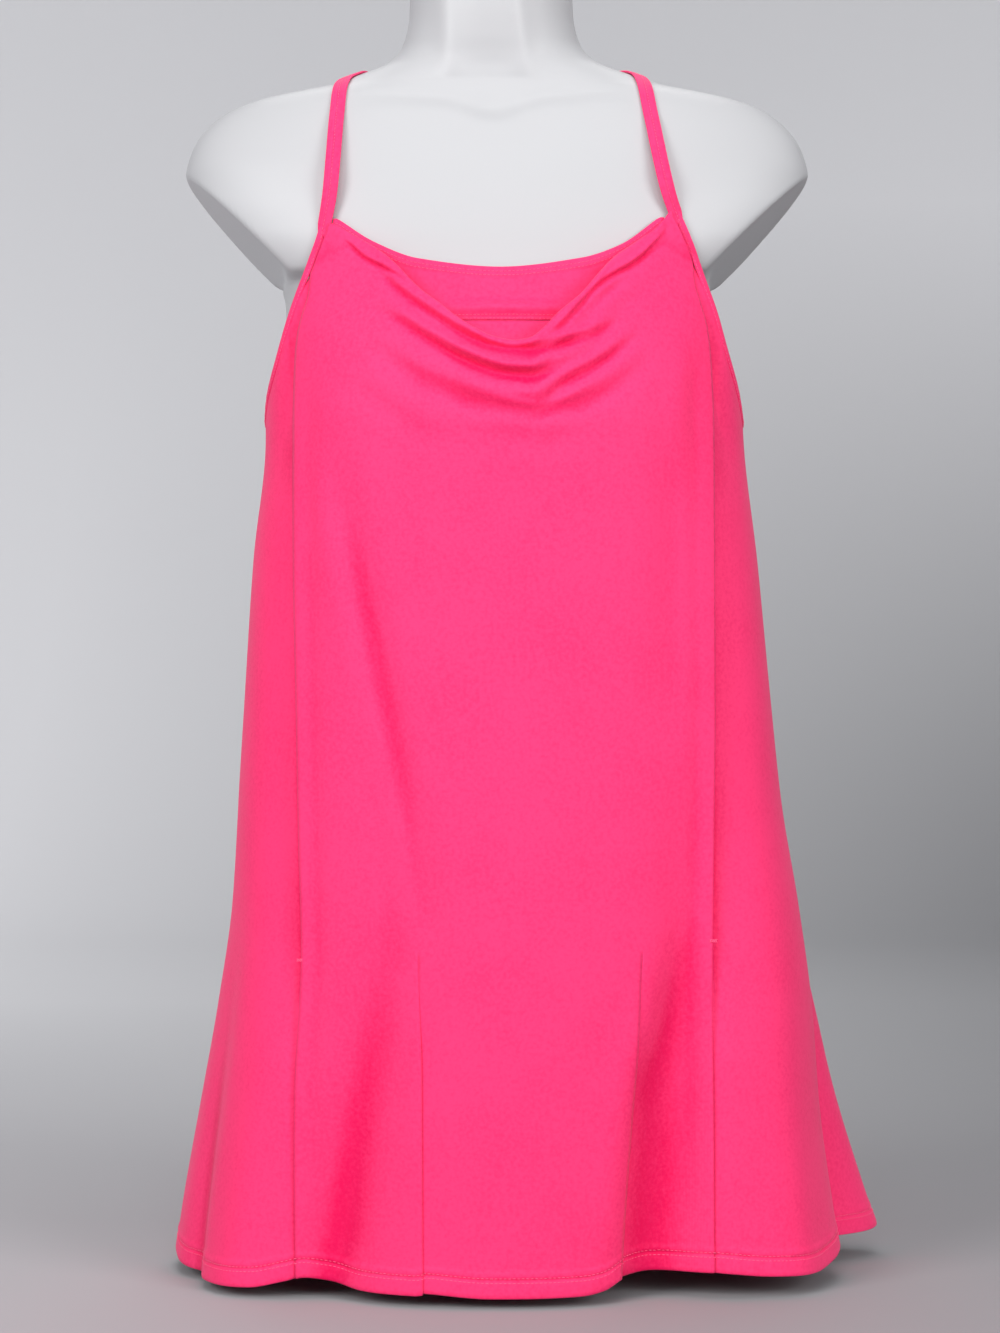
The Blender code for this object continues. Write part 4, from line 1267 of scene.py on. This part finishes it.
def soft_cut(place, side):
    """The points beyond the flat where an arm would join, brought back to it with an eased rim."""
    foot = np.array([side * ARMPIT[0], 0, ARMPIT[1]])
    tip = np.array([side * SHOULDER_TIP[0], 0, SHOULDER_TIP[1]])
    up = unit(tip - foot)
    away = unit(np.array([side * up[2], 0, -abs(up[0])]))
    away = unit(away + np.array([0, -ARM_CUT_TILT, 0]))
    past = (place - foot) @ away
    soft = np.where(past > ARM_CUT_SOFT, past, (past + ARM_CUT_SOFT) ** 2 / (4 * ARM_CUT_SOFT))
    soft = np.where(past < -ARM_CUT_SOFT, 0.0, soft) * ease((place - foot) @ up / 0.005 + 0.8)
    return place - away * soft[..., None]


def form_mesh():
    turn = np.linspace(0, 360, FORM_AROUND, endpoint=False)[None, :]
    half, front, back, power = (row[:, None] for row in FORM_AT(FORM_HEIGHTS))
    x, y = oval(turn, half, half, front, back, power)
    z = np.broadcast_to(FORM_HEIGHTS[:, None], x.shape)
    x = x + NECK_LEAN_AT(z)
    y = y - form_relief(x, z) * (y < 0)
    place = points(x, y, z)
    for side in (-1, 1):
        place = soft_cut(place, side)
    faces = ring_quads(len(FORM_HEIGHTS), FORM_AROUND)
    places = place.reshape(-1, 3).tolist()
    top_middle, base_middle = len(places), len(places) + 1
    neck_lean, neck_top = NECK_LEAN[-1][1], FORM_SECTIONS[-1][0]
    places += [[neck_lean, 0.0, neck_top], [0.0, 0.0, 0.0]]
    last = (len(FORM_HEIGHTS) - 1) * FORM_AROUND
    for k in range(FORM_AROUND):
        after = (k + 1) % FORM_AROUND
        faces.append((last + k, last + after, top_middle))
        faces.append((after, k, base_middle))
    mesh = new_mesh("form", places, faces)
    mesh.set_sharp_from_angle(angle=FORM_SHARP)
    mesh.update()
    return mesh


# Straps

STRAP_STEPS = 181
STRAP_AROUND = 20
# The strap starts behind the binding's top: shares of the armhole's length, and how far out
STRAP_START_SHARES = (0.020, 0.006)
STRAP_START_OUT = (-0.0012, -0.0002)
# How far past its route's end a strap runs on, as a share of the last step, and how far inward
STRAP_END_SHARE = 0.16
STRAP_END_IN = 0.0018
STRAP_WIDENS_OVER = 0.009
STRAP_TURNS_OVER = 0.03
STRAP_GROOVE = 0.00022
STRAP_GROOVE_WIDTH = 0.0007


def strap_route(side, over_form):
    """Points and normals of a strap: up from the binding, over the shoulder, down to the back."""
    low = armhole_place(side, np.array(STRAP_START_SHARES), np.full(2, BINDING_WIDTH / 2))
    start = cloth_point(low[0], low[1], np.array(STRAP_START_OUT), BINDING_THICK)
    rows = np.array([(left if side < 0 else right, y, z) for left, right, y, z in STRAP_ROUTES])
    last = rows[-1] + (rows[-1] - rows[-2]) * STRAP_END_SHARE - [0, STRAP_END_IN, 0]
    rows = np.vstack([start, rows, last])
    steps = np.linalg.norm(np.diff(rows, axis=0), axis=1)
    shares = np.concatenate([[0], np.cumsum(steps)]) / steps.sum()
    even = np.linspace(0, 1, STRAP_STEPS)
    fine = np.stack(Profile(np.column_stack([shares, rows]))(even), axis=-1)
    lengths = even * steps.sum()
    least = STRAP_THICK + FORM_GAP * 0.5
    normals = []
    for k in range(STRAP_STEPS):
        near, normal, _, _ = over_form.find_nearest(Vector(fine[k]))
        gap = (Vector(fine[k]) - near).dot(normal)
        if gap < least:
            fine[k] += np.array(normal) * (least - gap)
        normals.append(np.array(normal))
    for _ in range(12):
        fine[1:-1] = (fine[:-2] + 2 * fine[1:-1] + fine[2:]) / 4
    on_cloth = section_normal(*low)[0]
    share = ease(lengths / STRAP_TURNS_OVER)[:, None]
    normals = unit(on_cloth * (1 - share) + np.array(normals) * share)
    for _ in range(30):
        normals[1:-1] = unit((normals[:-2] + 2 * normals[1:-1] + normals[2:]) / 4)
    return fine, normals, lengths


def strap_mesh(name, side, over_form):
    """A strap as a flat folded tube, laid over the form's shoulder, and its line of stitching."""
    fine, normals, lengths = strap_route(side, over_form)
    along = unit(np.gradient(fine, axis=0))
    across = unit(np.cross(along, normals))
    up = unit(np.cross(across, along))
    narrow = (BINDING_WIDTH + 0.0006) / STRAP_WIDTH
    wide = blend(narrow, 1.0, ease(lengths / STRAP_WIDENS_OVER))[:, None, None]
    angle = np.linspace(0, math.tau, STRAP_AROUND, endpoint=False)
    flat = np.sign(np.cos(angle)) * np.abs(np.cos(angle)) ** 0.45 * STRAP_WIDTH / 2
    tall = np.sign(np.sin(angle)) * np.abs(np.sin(angle)) ** 0.8 * STRAP_THICK / 2
    groove = -STRAP_GROOVE * bump(flat, STRAP_GROOVE_WIDTH) * (np.sin(angle) > 0)
    rings = fine[:, None, :] - up[:, None, :] * (STRAP_THICK / 2)
    rings = rings + across[:, None, :] * flat[None, :, None] * wide
    rings = rings + up[:, None, :] * (tall + groove)[None, :, None]
    count = rings.shape[0] * STRAP_AROUND
    faces = ring_quads(STRAP_STEPS, STRAP_AROUND)
    faces.append(tuple(range(STRAP_AROUND)))
    faces.append(tuple(reversed(range(count - STRAP_AROUND, count))))
    mesh = new_mesh(name, rings.reshape(-1, 3).tolist(), faces)
    layer = mesh.uv_layers.new(name="cloth")
    around = np.cumsum(np.hypot(np.diff(np.append(flat, flat[0])), np.diff(np.append(tall, tall[0]))))
    corner = np.array([vertex for face in faces for vertex in face])
    uv = np.stack([around[corner % STRAP_AROUND], lengths[corner // STRAP_AROUND]], axis=-1)
    layer.data.foreach_set("uv", uv.astype(np.float32).ravel())
    work = bmesh.new()
    work.from_mesh(mesh)
    bmesh.ops.recalc_face_normals(work, faces=work.faces)
    work.to_mesh(mesh)
    work.free()
    return mesh, fine + up * STRAP_STITCH_LIFT


# Stitches

STRAP_STITCH_LIFT = 0.00009
CLOTH_STITCH_LIFT = 0.00018
TAPE_STITCH_LIFT = 0.00016
# Rows of stitching, from the edge of a hem or a band
HEM_STITCH_DROPS = (0.0008, 0.0040)
NECK_STITCH_DROPS = (0.0008, 0.0034)
YOKE_STITCH_RISES = (0.0010, 0.0030)
YOKE_STITCH_ENDS = (-0.075, 0.085)
# Share of a binding's width at which its stitching runs
BINDING_STITCH_SHARE = {-1: 0.78, 1: 0.22}
# Height of the bar tack over each side vent
TACK_Z = {-1: 0.2145, 1: 0.2265}
STITCH_SEED = 7


def line_above_foot(grid, distance, lift):
    """Points that run along a grid, that far above its last row."""
    normals = outward(grid)
    found = []
    for column in range(grid.shape[0]):
        steps = np.linalg.norm(np.diff(grid[column], axis=0), axis=1)
        below = np.concatenate([np.cumsum(steps[::-1])[::-1], [0.0]])
        place = [np.interp(-distance, -below, grid[column][:, k]) for k in range(3)]
        normal = [np.interp(-distance, -below, normals[column][:, k]) for k in range(3)]
        found.append(np.array(place) + np.array(normal) * lift)
    return np.array(found)


def line_down(grid, share, lift):
    """Points that run down a grid at a share of its width."""
    normals = outward(grid)
    at = share * (grid.shape[0] - 1)
    low = min(int(at), grid.shape[0] - 2)
    return blend(grid[low], grid[low + 1], at - low) + normals[low] * lift


def hem_lines(grid):
    return [line_above_foot(grid, HEM_BAND - drop, CLOTH_STITCH_LIFT) for drop in HEM_STITCH_DROPS]


def stitch_tree(thread):
    """Places a small rounded stitch at even steps along each line."""
    tree = bpy.data.node_groups.new("stitch run", "GeometryNodeTree")
    tree.interface.new_socket("Geometry", in_out="INPUT", socket_type="NodeSocketGeometry")
    for label in ("Pitch", "Length", "Thickness"):
        tree.interface.new_socket(label, in_out="INPUT", socket_type="NodeSocketFloat")
    tree.interface.new_socket("Seed", in_out="INPUT", socket_type="NodeSocketInt")
    tree.interface.new_socket("Geometry", in_out="OUTPUT", socket_type="NodeSocketGeometry")

    def node(kind, **values):
        made = tree.nodes.new(kind)
        for key, value in values.items():
            setattr(made, key, value)
        return made

    given = node("NodeGroupInput")
    curve = node("GeometryNodeMeshToCurve")
    steps = node("GeometryNodeResampleCurve", mode="LENGTH")
    tangent = node("GeometryNodeInputTangent")
    aim = node("FunctionNodeAlignRotationToVector", axis="X")
    bead = node("GeometryNodeMeshUVSphere")
    bead.inputs["Segments"].default_value = 6
    bead.inputs["Rings"].default_value = 4
    bead.inputs["Radius"].default_value = 0.5
    smooth = node("GeometryNodeSetShadeSmooth")
    size = node("ShaderNodeCombineXYZ")
    shape = node("GeometryNodeTransform")
    vary = node("FunctionNodeRandomValue", data_type="FLOAT")
    least, most = 2, 3
    vary.inputs[least].default_value = 0.88
    vary.inputs[most].default_value = 1.06
    spots = node("GeometryNodeInstanceOnPoints")
    real = node("GeometryNodeRealizeInstances")
    paint = node("GeometryNodeSetMaterial")
    paint.inputs["Material"].default_value = thread
    done = node("NodeGroupOutput")
    for source, given_out, target, taken_in in (
        (given, "Geometry", curve, "Mesh"),
        (curve, "Curve", steps, "Curve"),
        (given, "Pitch", steps, "Length"),
        (tangent, "Tangent", aim, "Vector"),
        (bead, "Mesh", smooth, "Geometry"),
        (given, "Length", size, "X"),
        (given, "Thickness", size, "Y"),
        (given, "Thickness", size, "Z"),
        (smooth, "Geometry", shape, "Geometry"),
        (size, "Vector", shape, "Scale"),
        (given, "Seed", vary, "Seed"),
        (steps, "Curve", spots, "Points"),
        (shape, "Geometry", spots, "Instance"),
        (aim, "Rotation", spots, "Rotation"),
        (vary, 1, spots, "Scale"),
        (spots, "Instances", real, "Geometry"),
        (real, "Geometry", paint, "Geometry"),
        (paint, "Geometry", done, "Geometry"),
    ):
        tree.links.new(source.outputs[given_out], target.inputs[taken_in])
    return tree


def add_stitches(name, tree, lines, pitch, length, thickness):
    """A run of stitches along each line of points, as one plain mesh."""
    places, edges = [], []
    for line in lines:
        start = len(places)
        places += [tuple(p) for p in line]
        edges += [(start + k, start + k + 1) for k in range(len(line) - 1)]
    mesh = bpy.data.meshes.new(name)
    mesh.from_pydata(places, edges, [])
    sizes = {"Pitch": pitch, "Length": length, "Thickness": thickness, "Seed": STITCH_SEED}

    def set_up(run):
        run.node_group = tree
        for socket in tree.interface.items_tree:
            if socket.item_type == "SOCKET" and socket.in_out == "INPUT" and socket.name in sizes:
                run[socket.identifier] = sizes[socket.name]

    return add_piece(name, with_modifier(mesh, "NODES", set_up), None)


def bar_tack(centre, across):
    """A zigzag of close lines, sewn over the top of a vent."""
    count, width, height = 7, 0.0046, 0.0018
    corners = []
    for k in range(count):
        x = -width / 2 if k % 2 else width / 2
        z = height * (k / (count - 1) - 0.5)
        corners.append(centre + across * x + np.array([0.0, 0.0, z]))
    return np.array(corners)


# Materials

# How strongly each layer darkens the pink: painted shade in wale grooves, mottle, painted shade in folds
RIB_GROOVE_SHADE = 0.30
BROAD_TINT = 0.55
FINE_TINT = 0.95
PAINTED_FOLD_SHADE = 0.80
SHEEN_TINT = (1.0, 0.45, 0.62, 1.0)
FORM_SHADE = (0.62, 0.62, 0.65, 1.0)
# Darkness of the painted shadow in the lower right of the floor and backdrop
CORNER_SHADE = 0.42


def group_tree(name, takes, gives):
    tree = bpy.data.node_groups.new(name, "ShaderNodeTree")
    kinds = {"c": "NodeSocketColor", "f": "NodeSocketFloat"}
    for kind, label, value in takes:
        socket = tree.interface.new_socket(label, in_out="INPUT", socket_type=kinds[kind])
        socket.default_value = value
    for kind, label in gives:
        tree.interface.new_socket(label, in_out="OUTPUT", socket_type=kinds[kind])
    return tree, tree.nodes.new("NodeGroupInput"), tree.nodes.new("NodeGroupOutput")


def maths(tree, operation, a, b=None):
    """A Math node on sockets or numbers."""
    made = tree.nodes.new("ShaderNodeMath")
    made.operation = operation
    for index, value in enumerate((a, b)):
        if value is None:
            continue
        if isinstance(value, (int, float)):
            made.inputs[index].default_value = value
        else:
            tree.links.new(value, made.inputs[index])
    return made.outputs[0]


def plus(tree, a, b):
    return maths(tree, "ADD", a, b)


def minus(tree, a, b):
    return maths(tree, "SUBTRACT", a, b)


def times(tree, a, b):
    return maths(tree, "MULTIPLY", a, b)


def within(tree, value, least, most):
    return maths(tree, "MINIMUM", maths(tree, "MAXIMUM", value, least), most)


def mixed(tree, factor, a, b):
    made = tree.nodes.new("ShaderNodeMix")
    made.data_type = "RGBA"
    made.clamp_factor = True
    for index, value in ((0, factor), (6, a), (7, b)):
        if isinstance(value, (int, float, tuple)):
            made.inputs[index].default_value = value
        else:
            tree.links.new(value, made.inputs[index])
    return made.outputs[2]


def noise(tree, vector, scale, detail=2.0, rough=0.5):
    made = tree.nodes.new("ShaderNodeTexNoise")
    made.inputs["Scale"].default_value = scale
    made.inputs["Detail"].default_value = detail
    made.inputs["Roughness"].default_value = rough
    tree.links.new(vector, made.inputs["Vector"])
    return made.outputs["Fac"]


def object_place(tree):
    return tree.nodes.new("ShaderNodeTexCoord").outputs["Object"]


def parts_of(tree, vector):
    """The X, Y and Z outputs of a vector."""
    made = tree.nodes.new("ShaderNodeSeparateXYZ")
    tree.links.new(vector, made.inputs[0])
    return made.outputs


def knit_and_shade_group():
    """A fine single jersey: upright wales of small loops, fuzz, soft mottle; painted shade in grooves and
    folds.
    """
    tree, given, done = group_tree(
        "jersey knit",
        [("c", "Color", PINK), ("c", "Fold Color", PINK_MOTTLE_AND_SHADE), ("f", "Pitch", 0.00075)],
        [("c", "Color"), ("f", "Height")],
    )
    uv = tree.nodes.new("ShaderNodeUVMap")
    uv.uv_map = "cloth"
    axes = parts_of(tree, uv.outputs["UV"])
    where = object_place(tree)
    per_wale = maths(tree, "DIVIDE", math.tau, given.outputs["Pitch"])
    wale = times(tree, axes["X"], per_wale)
    course = times(tree, times(tree, axes["Y"], per_wale), 0.8)
    bent = plus(tree, course, times(tree, maths(tree, "SINE", wale), 1.1))
    loops = times(tree, maths(tree, "SINE", bent), 0.35)
    ribs = maths(tree, "ABSOLUTE", maths(tree, "SINE", times(tree, wale, 0.5)))
    fuzz = noise(tree, where, 1500.0, 3.0, 0.6)
    height = plus(tree, plus(tree, ribs, loops), times(tree, fuzz, 0.9))
    broad = minus(tree, noise(tree, where, 16.0, 3.0), 0.5)
    fine = minus(tree, noise(tree, where, 420.0), 0.5)
    # The fold attribute mixes in the darker pink as painted shade in creases and on faces turned down
    fold = tree.nodes.new("ShaderNodeAttribute")
    fold.attribute_name = "fold"
    # Painted shade in the grooves between wales, where the knit's height is low
    mottle_and_shade = times(tree, minus(tree, 1.0, ribs), RIB_GROOVE_SHADE)
    for layer, share in ((broad, BROAD_TINT), (fine, FINE_TINT), (fold.outputs["Fac"], PAINTED_FOLD_SHADE)):
        mottle_and_shade = plus(tree, mottle_and_shade, times(tree, layer, share))
    colour = mixed(tree, mottle_and_shade, given.outputs["Color"], given.outputs["Fold Color"])
    tree.links.new(colour, done.inputs["Color"])
    tree.links.new(height, done.inputs["Height"])
    return tree


def plastic_group():
    """Moulded plastic: an even satin skin with very shallow waves."""
    tree, given, done = group_tree(
        "moulded plastic",
        [("c", "Color", FORM_WHITE), ("f", "Satin", 0.40)],
        [("c", "Color"), ("f", "Roughness"), ("f", "Height")],
    )
    where = object_place(tree)
    broad = noise(tree, where, 9.0)
    grain = noise(tree, where, 900.0)
    shade = times(tree, plus(tree, broad, grain), 0.06)
    colour = mixed(tree, shade, given.outputs["Color"], FORM_SHADE)
    rough = plus(tree, given.outputs["Satin"], times(tree, broad, 0.10))
    height = plus(tree, times(tree, grain, 0.2), broad)
    for label, value in (("Color", colour), ("Roughness", rough), ("Height", height)):
        tree.links.new(value, done.inputs[label])
    return tree


def shader(name, colour, roughness, **sockets):
    made = bpy.data.materials.new(name)
    made.use_nodes = True
    main = made.node_tree.nodes["Principled BSDF"]
    main.inputs["Base Color"].default_value = colour
    main.inputs["Roughness"].default_value = roughness
    for label, value in sockets.items():
        main.inputs[label.replace("_", " ")].default_value = value
    made.diffuse_color = colour
    return made, made.node_tree, main


def bump_into(tree, main, height, strength, distance):
    made = tree.nodes.new("ShaderNodeBump")
    made.inputs["Strength"].default_value = strength
    made.inputs["Distance"].default_value = distance
    tree.links.new(height, made.inputs["Height"])
    tree.links.new(made.outputs["Normal"], main.inputs["Normal"])


def jersey_material(name, knit, pitch, sheen):
    made, tree, main = shader(
        name, PINK, 0.62, Sheen_Weight=sheen, Sheen_Roughness=0.45,
        Sheen_Tint=SHEEN_TINT, Specular_IOR_Level=0.18,
    )
    cloth = tree.nodes.new("ShaderNodeGroup")
    cloth.node_tree = knit
    cloth.inputs["Pitch"].default_value = pitch
    tree.links.new(cloth.outputs["Color"], main.inputs["Base Color"])
    bump_into(tree, main, cloth.outputs["Height"], 0.35, 0.00012)
    return made


def form_material(plastic):
    made, tree, main = shader("white form plastic", FORM_WHITE, 0.45, Specular_IOR_Level=0.45)
    skin = tree.nodes.new("ShaderNodeGroup")
    skin.node_tree = plastic
    tree.links.new(skin.outputs["Color"], main.inputs["Base Color"])
    tree.links.new(skin.outputs["Roughness"], main.inputs["Roughness"])
    bump_into(tree, main, skin.outputs["Height"], 0.12, 0.0004)
    return made


def thread_material():
    made, tree, main = shader("sewing thread", PINK_THREAD, 0.42, Sheen_Weight=0.3)
    twist = noise(tree, object_place(tree), 2600.0)
    colour = mixed(tree, times(tree, twist, 0.3), PINK_THREAD, PINK)
    tree.links.new(colour, main.inputs["Base Color"])
    bump_into(tree, main, twist, 0.4, 0.0001)
    return made


def floor_material():
    """Pale grey paper, lighter where it runs up behind, with painted shadow darkening its lower right."""
    made, tree, main = shader("studio floor", FLOOR_GREY, 0.9, Specular_IOR_Level=0.05)
    where = object_place(tree)
    axes = parts_of(tree, where)
    cloud = times(tree, noise(tree, where, 1.4), 0.06)
    behind = within(tree, times(tree, minus(tree, axes["Y"], 0.2), 0.60), 0.0, 0.94)
    paper = mixed(tree, plus(tree, behind, cloud), FLOOR_GREY, BACKDROP_GREY)
    # Painted shadow, darker towards the right and the bottom of the floor and backdrop
    across = maths(tree, "MAXIMUM", plus(tree, times(tree, axes["X"], 0.55), 0.45), 0.0)
    low = maths(tree, "MAXIMUM", minus(tree, 1.0, times(tree, axes["Z"], 0.75)), 0.0)
    corner = maths(tree, "MINIMUM", times(tree, across, low), 0.9)
    shade = tuple(c * CORNER_SHADE for c in FLOOR_GREY[:3]) + (1.0,)
    tree.links.new(mixed(tree, corner, paper, shade), main.inputs["Base Color"])
    return made


# The pieces


def cloth_piece(name, grids, material, node, slot="jersey"):
    """A cloth piece from its grids, with its wall."""
    piece = add_piece(name, add_wall(grid_mesh(name, grids)), material, node, slot=slot)
    return piece


knit = knit_and_shade_group()
jersey = jersey_material("pink jersey", knit, 0.00075, 0.20)
inner_jersey = jersey_material("pink inner jersey", knit, 0.00070, 0.16)
tape_jersey = jersey_material("pink binding jersey", knit, 0.00060, 0.24)
thread = thread_material()
plastic = form_material(plastic_group())
sides = ((-1, "left"), (1, "right"))

form = add_piece("form_body", form_mesh(), plastic, "dress_form", slot="form_shell")

front = [front_strip(0, 38), front_strip(1, 54), front_strip(2, 36)]
cloth_piece("front_cloth", front, jersey, "front_panel")
hem_runs = [line for strip in front for line in hem_lines(strip)]
for side, side_name in sides:
    grid = side_grid(side)
    cloth_piece(f"side_cloth_{side_name}", [grid], jersey, f"side_panel_{side_name}")
    hem_runs += hem_lines(grid)
back = back_grid()
cloth_piece("back_cloth", [back], jersey, "back_panel")
hem_runs += hem_lines(back)

yoke_foot = YOKE_SEAM_Z + SEAM_GAP / 2
inner_top = inner_grid(INNER_EDGE_AT, lambda x: np.full_like(x, yoke_foot), 70, True)
inner_foot = inner_grid(
    lambda x: np.full_like(x, yoke_foot - SEAM_GAP), lambda x: np.full_like(x, INNER_HEM_Z), 50, False
)
cloth_piece("inner_top_cloth", [inner_top], inner_jersey, "inner_front_top", "inner_jersey")
cloth_piece("inner_foot_cloth", [inner_foot], inner_jersey, "inner_front_foot", "inner_jersey")
neck_runs = []
for drop in NECK_STITCH_DROPS:
    neck_runs.append(line_above_foot(inner_top[:, ::-1], INNER_HEM_BAND - drop, -TAPE_STITCH_LIFT))

binding_runs = []
for side, side_name in sides:
    grid = binding_grid(side)
    cloth_piece(f"binding_cloth_{side_name}", [grid], tape_jersey, f"armhole_binding_{side_name}")
    binding_runs.append(line_down(grid, BINDING_STITCH_SHARE[side], TAPE_STITCH_LIFT))

over_form = BVHTree.FromObject(form, bpy.context.evaluated_depsgraph_get())
strap_runs = []
for side, side_name in sides:
    mesh, run = strap_mesh(f"strap_cloth_{side_name}", side, over_form)
    strap = add_piece(f"strap_cloth_{side_name}", mesh, tape_jersey, f"strap_{side_name}")
    length = float(np.linalg.norm(np.diff(run, axis=0), axis=1).sum())
    strap_runs.append(run)

yoke_x = np.linspace(*YOKE_STITCH_ENDS, 60)
yoke_runs = []
for above in YOKE_STITCH_RISES:
    yoke_z = np.full_like(yoke_x, YOKE_SEAM_Z + above)
    yoke_runs.append(inner_point(yoke_x, yoke_z, yoke_swell(yoke_x, yoke_z) + 0.0002))
tack_runs = []
for side, _ in sides:
    tack_z = np.array([TACK_Z[side]])
    centre = front_point(front_seam(side, tack_z), tack_z, np.array([0.0010]))[0]
    tack_runs.append(bar_tack(centre, np.array([1.0, 0.1 * side, 0.0])))

# Sewing. Columns: name, lines, pitch, a stitch's length and thickness.
SEWING = (
    ("hem_stitches", hem_runs, 0.0028, 0.0021, 0.00046),
    ("yoke_stitches", yoke_runs, 0.0024, 0.0018, 0.00034),
    ("vent_tacks", tack_runs, 0.0011, 0.0012, 0.00030),
    ("neck_stitches", neck_runs, 0.0026, 0.0020, 0.00036),
    ("binding_stitches", binding_runs, 0.0025, 0.0019, 0.00036),
    ("strap_stitches", strap_runs, 0.0026, 0.0020, 0.00034),
)
tree = stitch_tree(thread)
for name, runs, pitch, length, thickness in SEWING:
    add_stitches(name, tree, runs, pitch, length, thickness)

# Stage, light and camera

FLOOR_REACH = 6.0
FLOOR_COLUMNS = 13
BACKDROP_Y = 4.6
BACKDROP_TOP_Z = 4.0
BACKDROP_RADIUS = 2.0
BACKDROP_STEPS = 16

# Lights. Columns: name, place, aim, size, power.
LIGHTS = (
    ("key", (-1.9, -2.4, 1.6), (0.0, 0.0, 0.36), 1.4, 58),
    ("fill", (1.9, -2.4, 1.2), (0.0, 0.0, 0.34), 1.4, 48),
    ("front", (0.0, -3.0, 1.9), (0.0, 0.0, 0.35), 1.4, 23),
    ("top", (0.0, -1.0, 2.5), (0.0, -0.2, 0.2), 1.3, 12),
    ("floor", (0.0, 1.3, 2.6), (0.0, 1.1, 0.0), 1.6, 18),
    ("backdrop left", (-2.6, 2.2, 1.2), (-1.1, 4.6, 0.6), 1.6, 24),
    ("backdrop right", (2.6, 2.2, 1.4), (1.0, 4.6, 0.9), 1.6, 20),
)
WORLD_COLOUR = (0.92, 0.93, 1.0, 1.0)
WORLD_STRENGTH = 0.30
CAMERA_PLACE = (0.002, -2.2, 0.3996)
CAMERA_LENS = 60.0
SENSOR_HEIGHT = 24.0


def floor_mesh():
    """A floor that runs up into a backdrop in one sweep."""
    across = np.linspace(-FLOOR_REACH, FLOOR_REACH, FLOOR_COLUMNS)
    bend = BACKDROP_Y - BACKDROP_RADIUS
    section = [(-FLOOR_REACH, 0.0), (-2.0, 0.0), (0.0, 0.0), (bend, 0.0)]
    for k in range(1, BACKDROP_STEPS + 1):
        angle = math.pi / 2 * k / BACKDROP_STEPS
        up = BACKDROP_RADIUS * (1 - math.cos(angle))
        section.append((bend + BACKDROP_RADIUS * math.sin(angle), up))
    section.append((BACKDROP_Y, BACKDROP_TOP_Z))
    places = [(float(x), y, z) for x in across for y, z in section]
    mesh = new_mesh("studio_floor", places, grid_quads(len(across), len(section))[:, ::-1].tolist())
    mesh.materials.append(floor_material())
    mesh.update()
    return mesh


new_object("studio_floor", floor_mesh())

for name, place, aim, size, power in LIGHTS:
    lamp = bpy.data.lights.new(name, "AREA")
    lamp.shape = "SQUARE"
    lamp.size = size
    lamp.energy = power
    light = new_object(name, lamp)
    light.location = place
    light.rotation_euler = (Vector(aim) - Vector(place)).to_track_quat("-Z", "Y").to_euler()

world = bpy.data.worlds.new("studio")
world.use_nodes = True
world.node_tree.nodes["Background"].inputs["Color"].default_value = WORLD_COLOUR
world.node_tree.nodes["Background"].inputs["Strength"].default_value = WORLD_STRENGTH
bpy.context.scene.world = world
bpy.context.scene.view_settings.view_transform = "Standard"

lens = bpy.data.cameras.new("camera")
lens.sensor_fit = "VERTICAL"
lens.sensor_height = SENSOR_HEIGHT
lens.lens = CAMERA_LENS
camera = new_object("camera", lens)
camera.location = CAMERA_PLACE
camera.rotation_euler = (math.radians(90), 0, 0)
bpy.context.scene.camera = camera
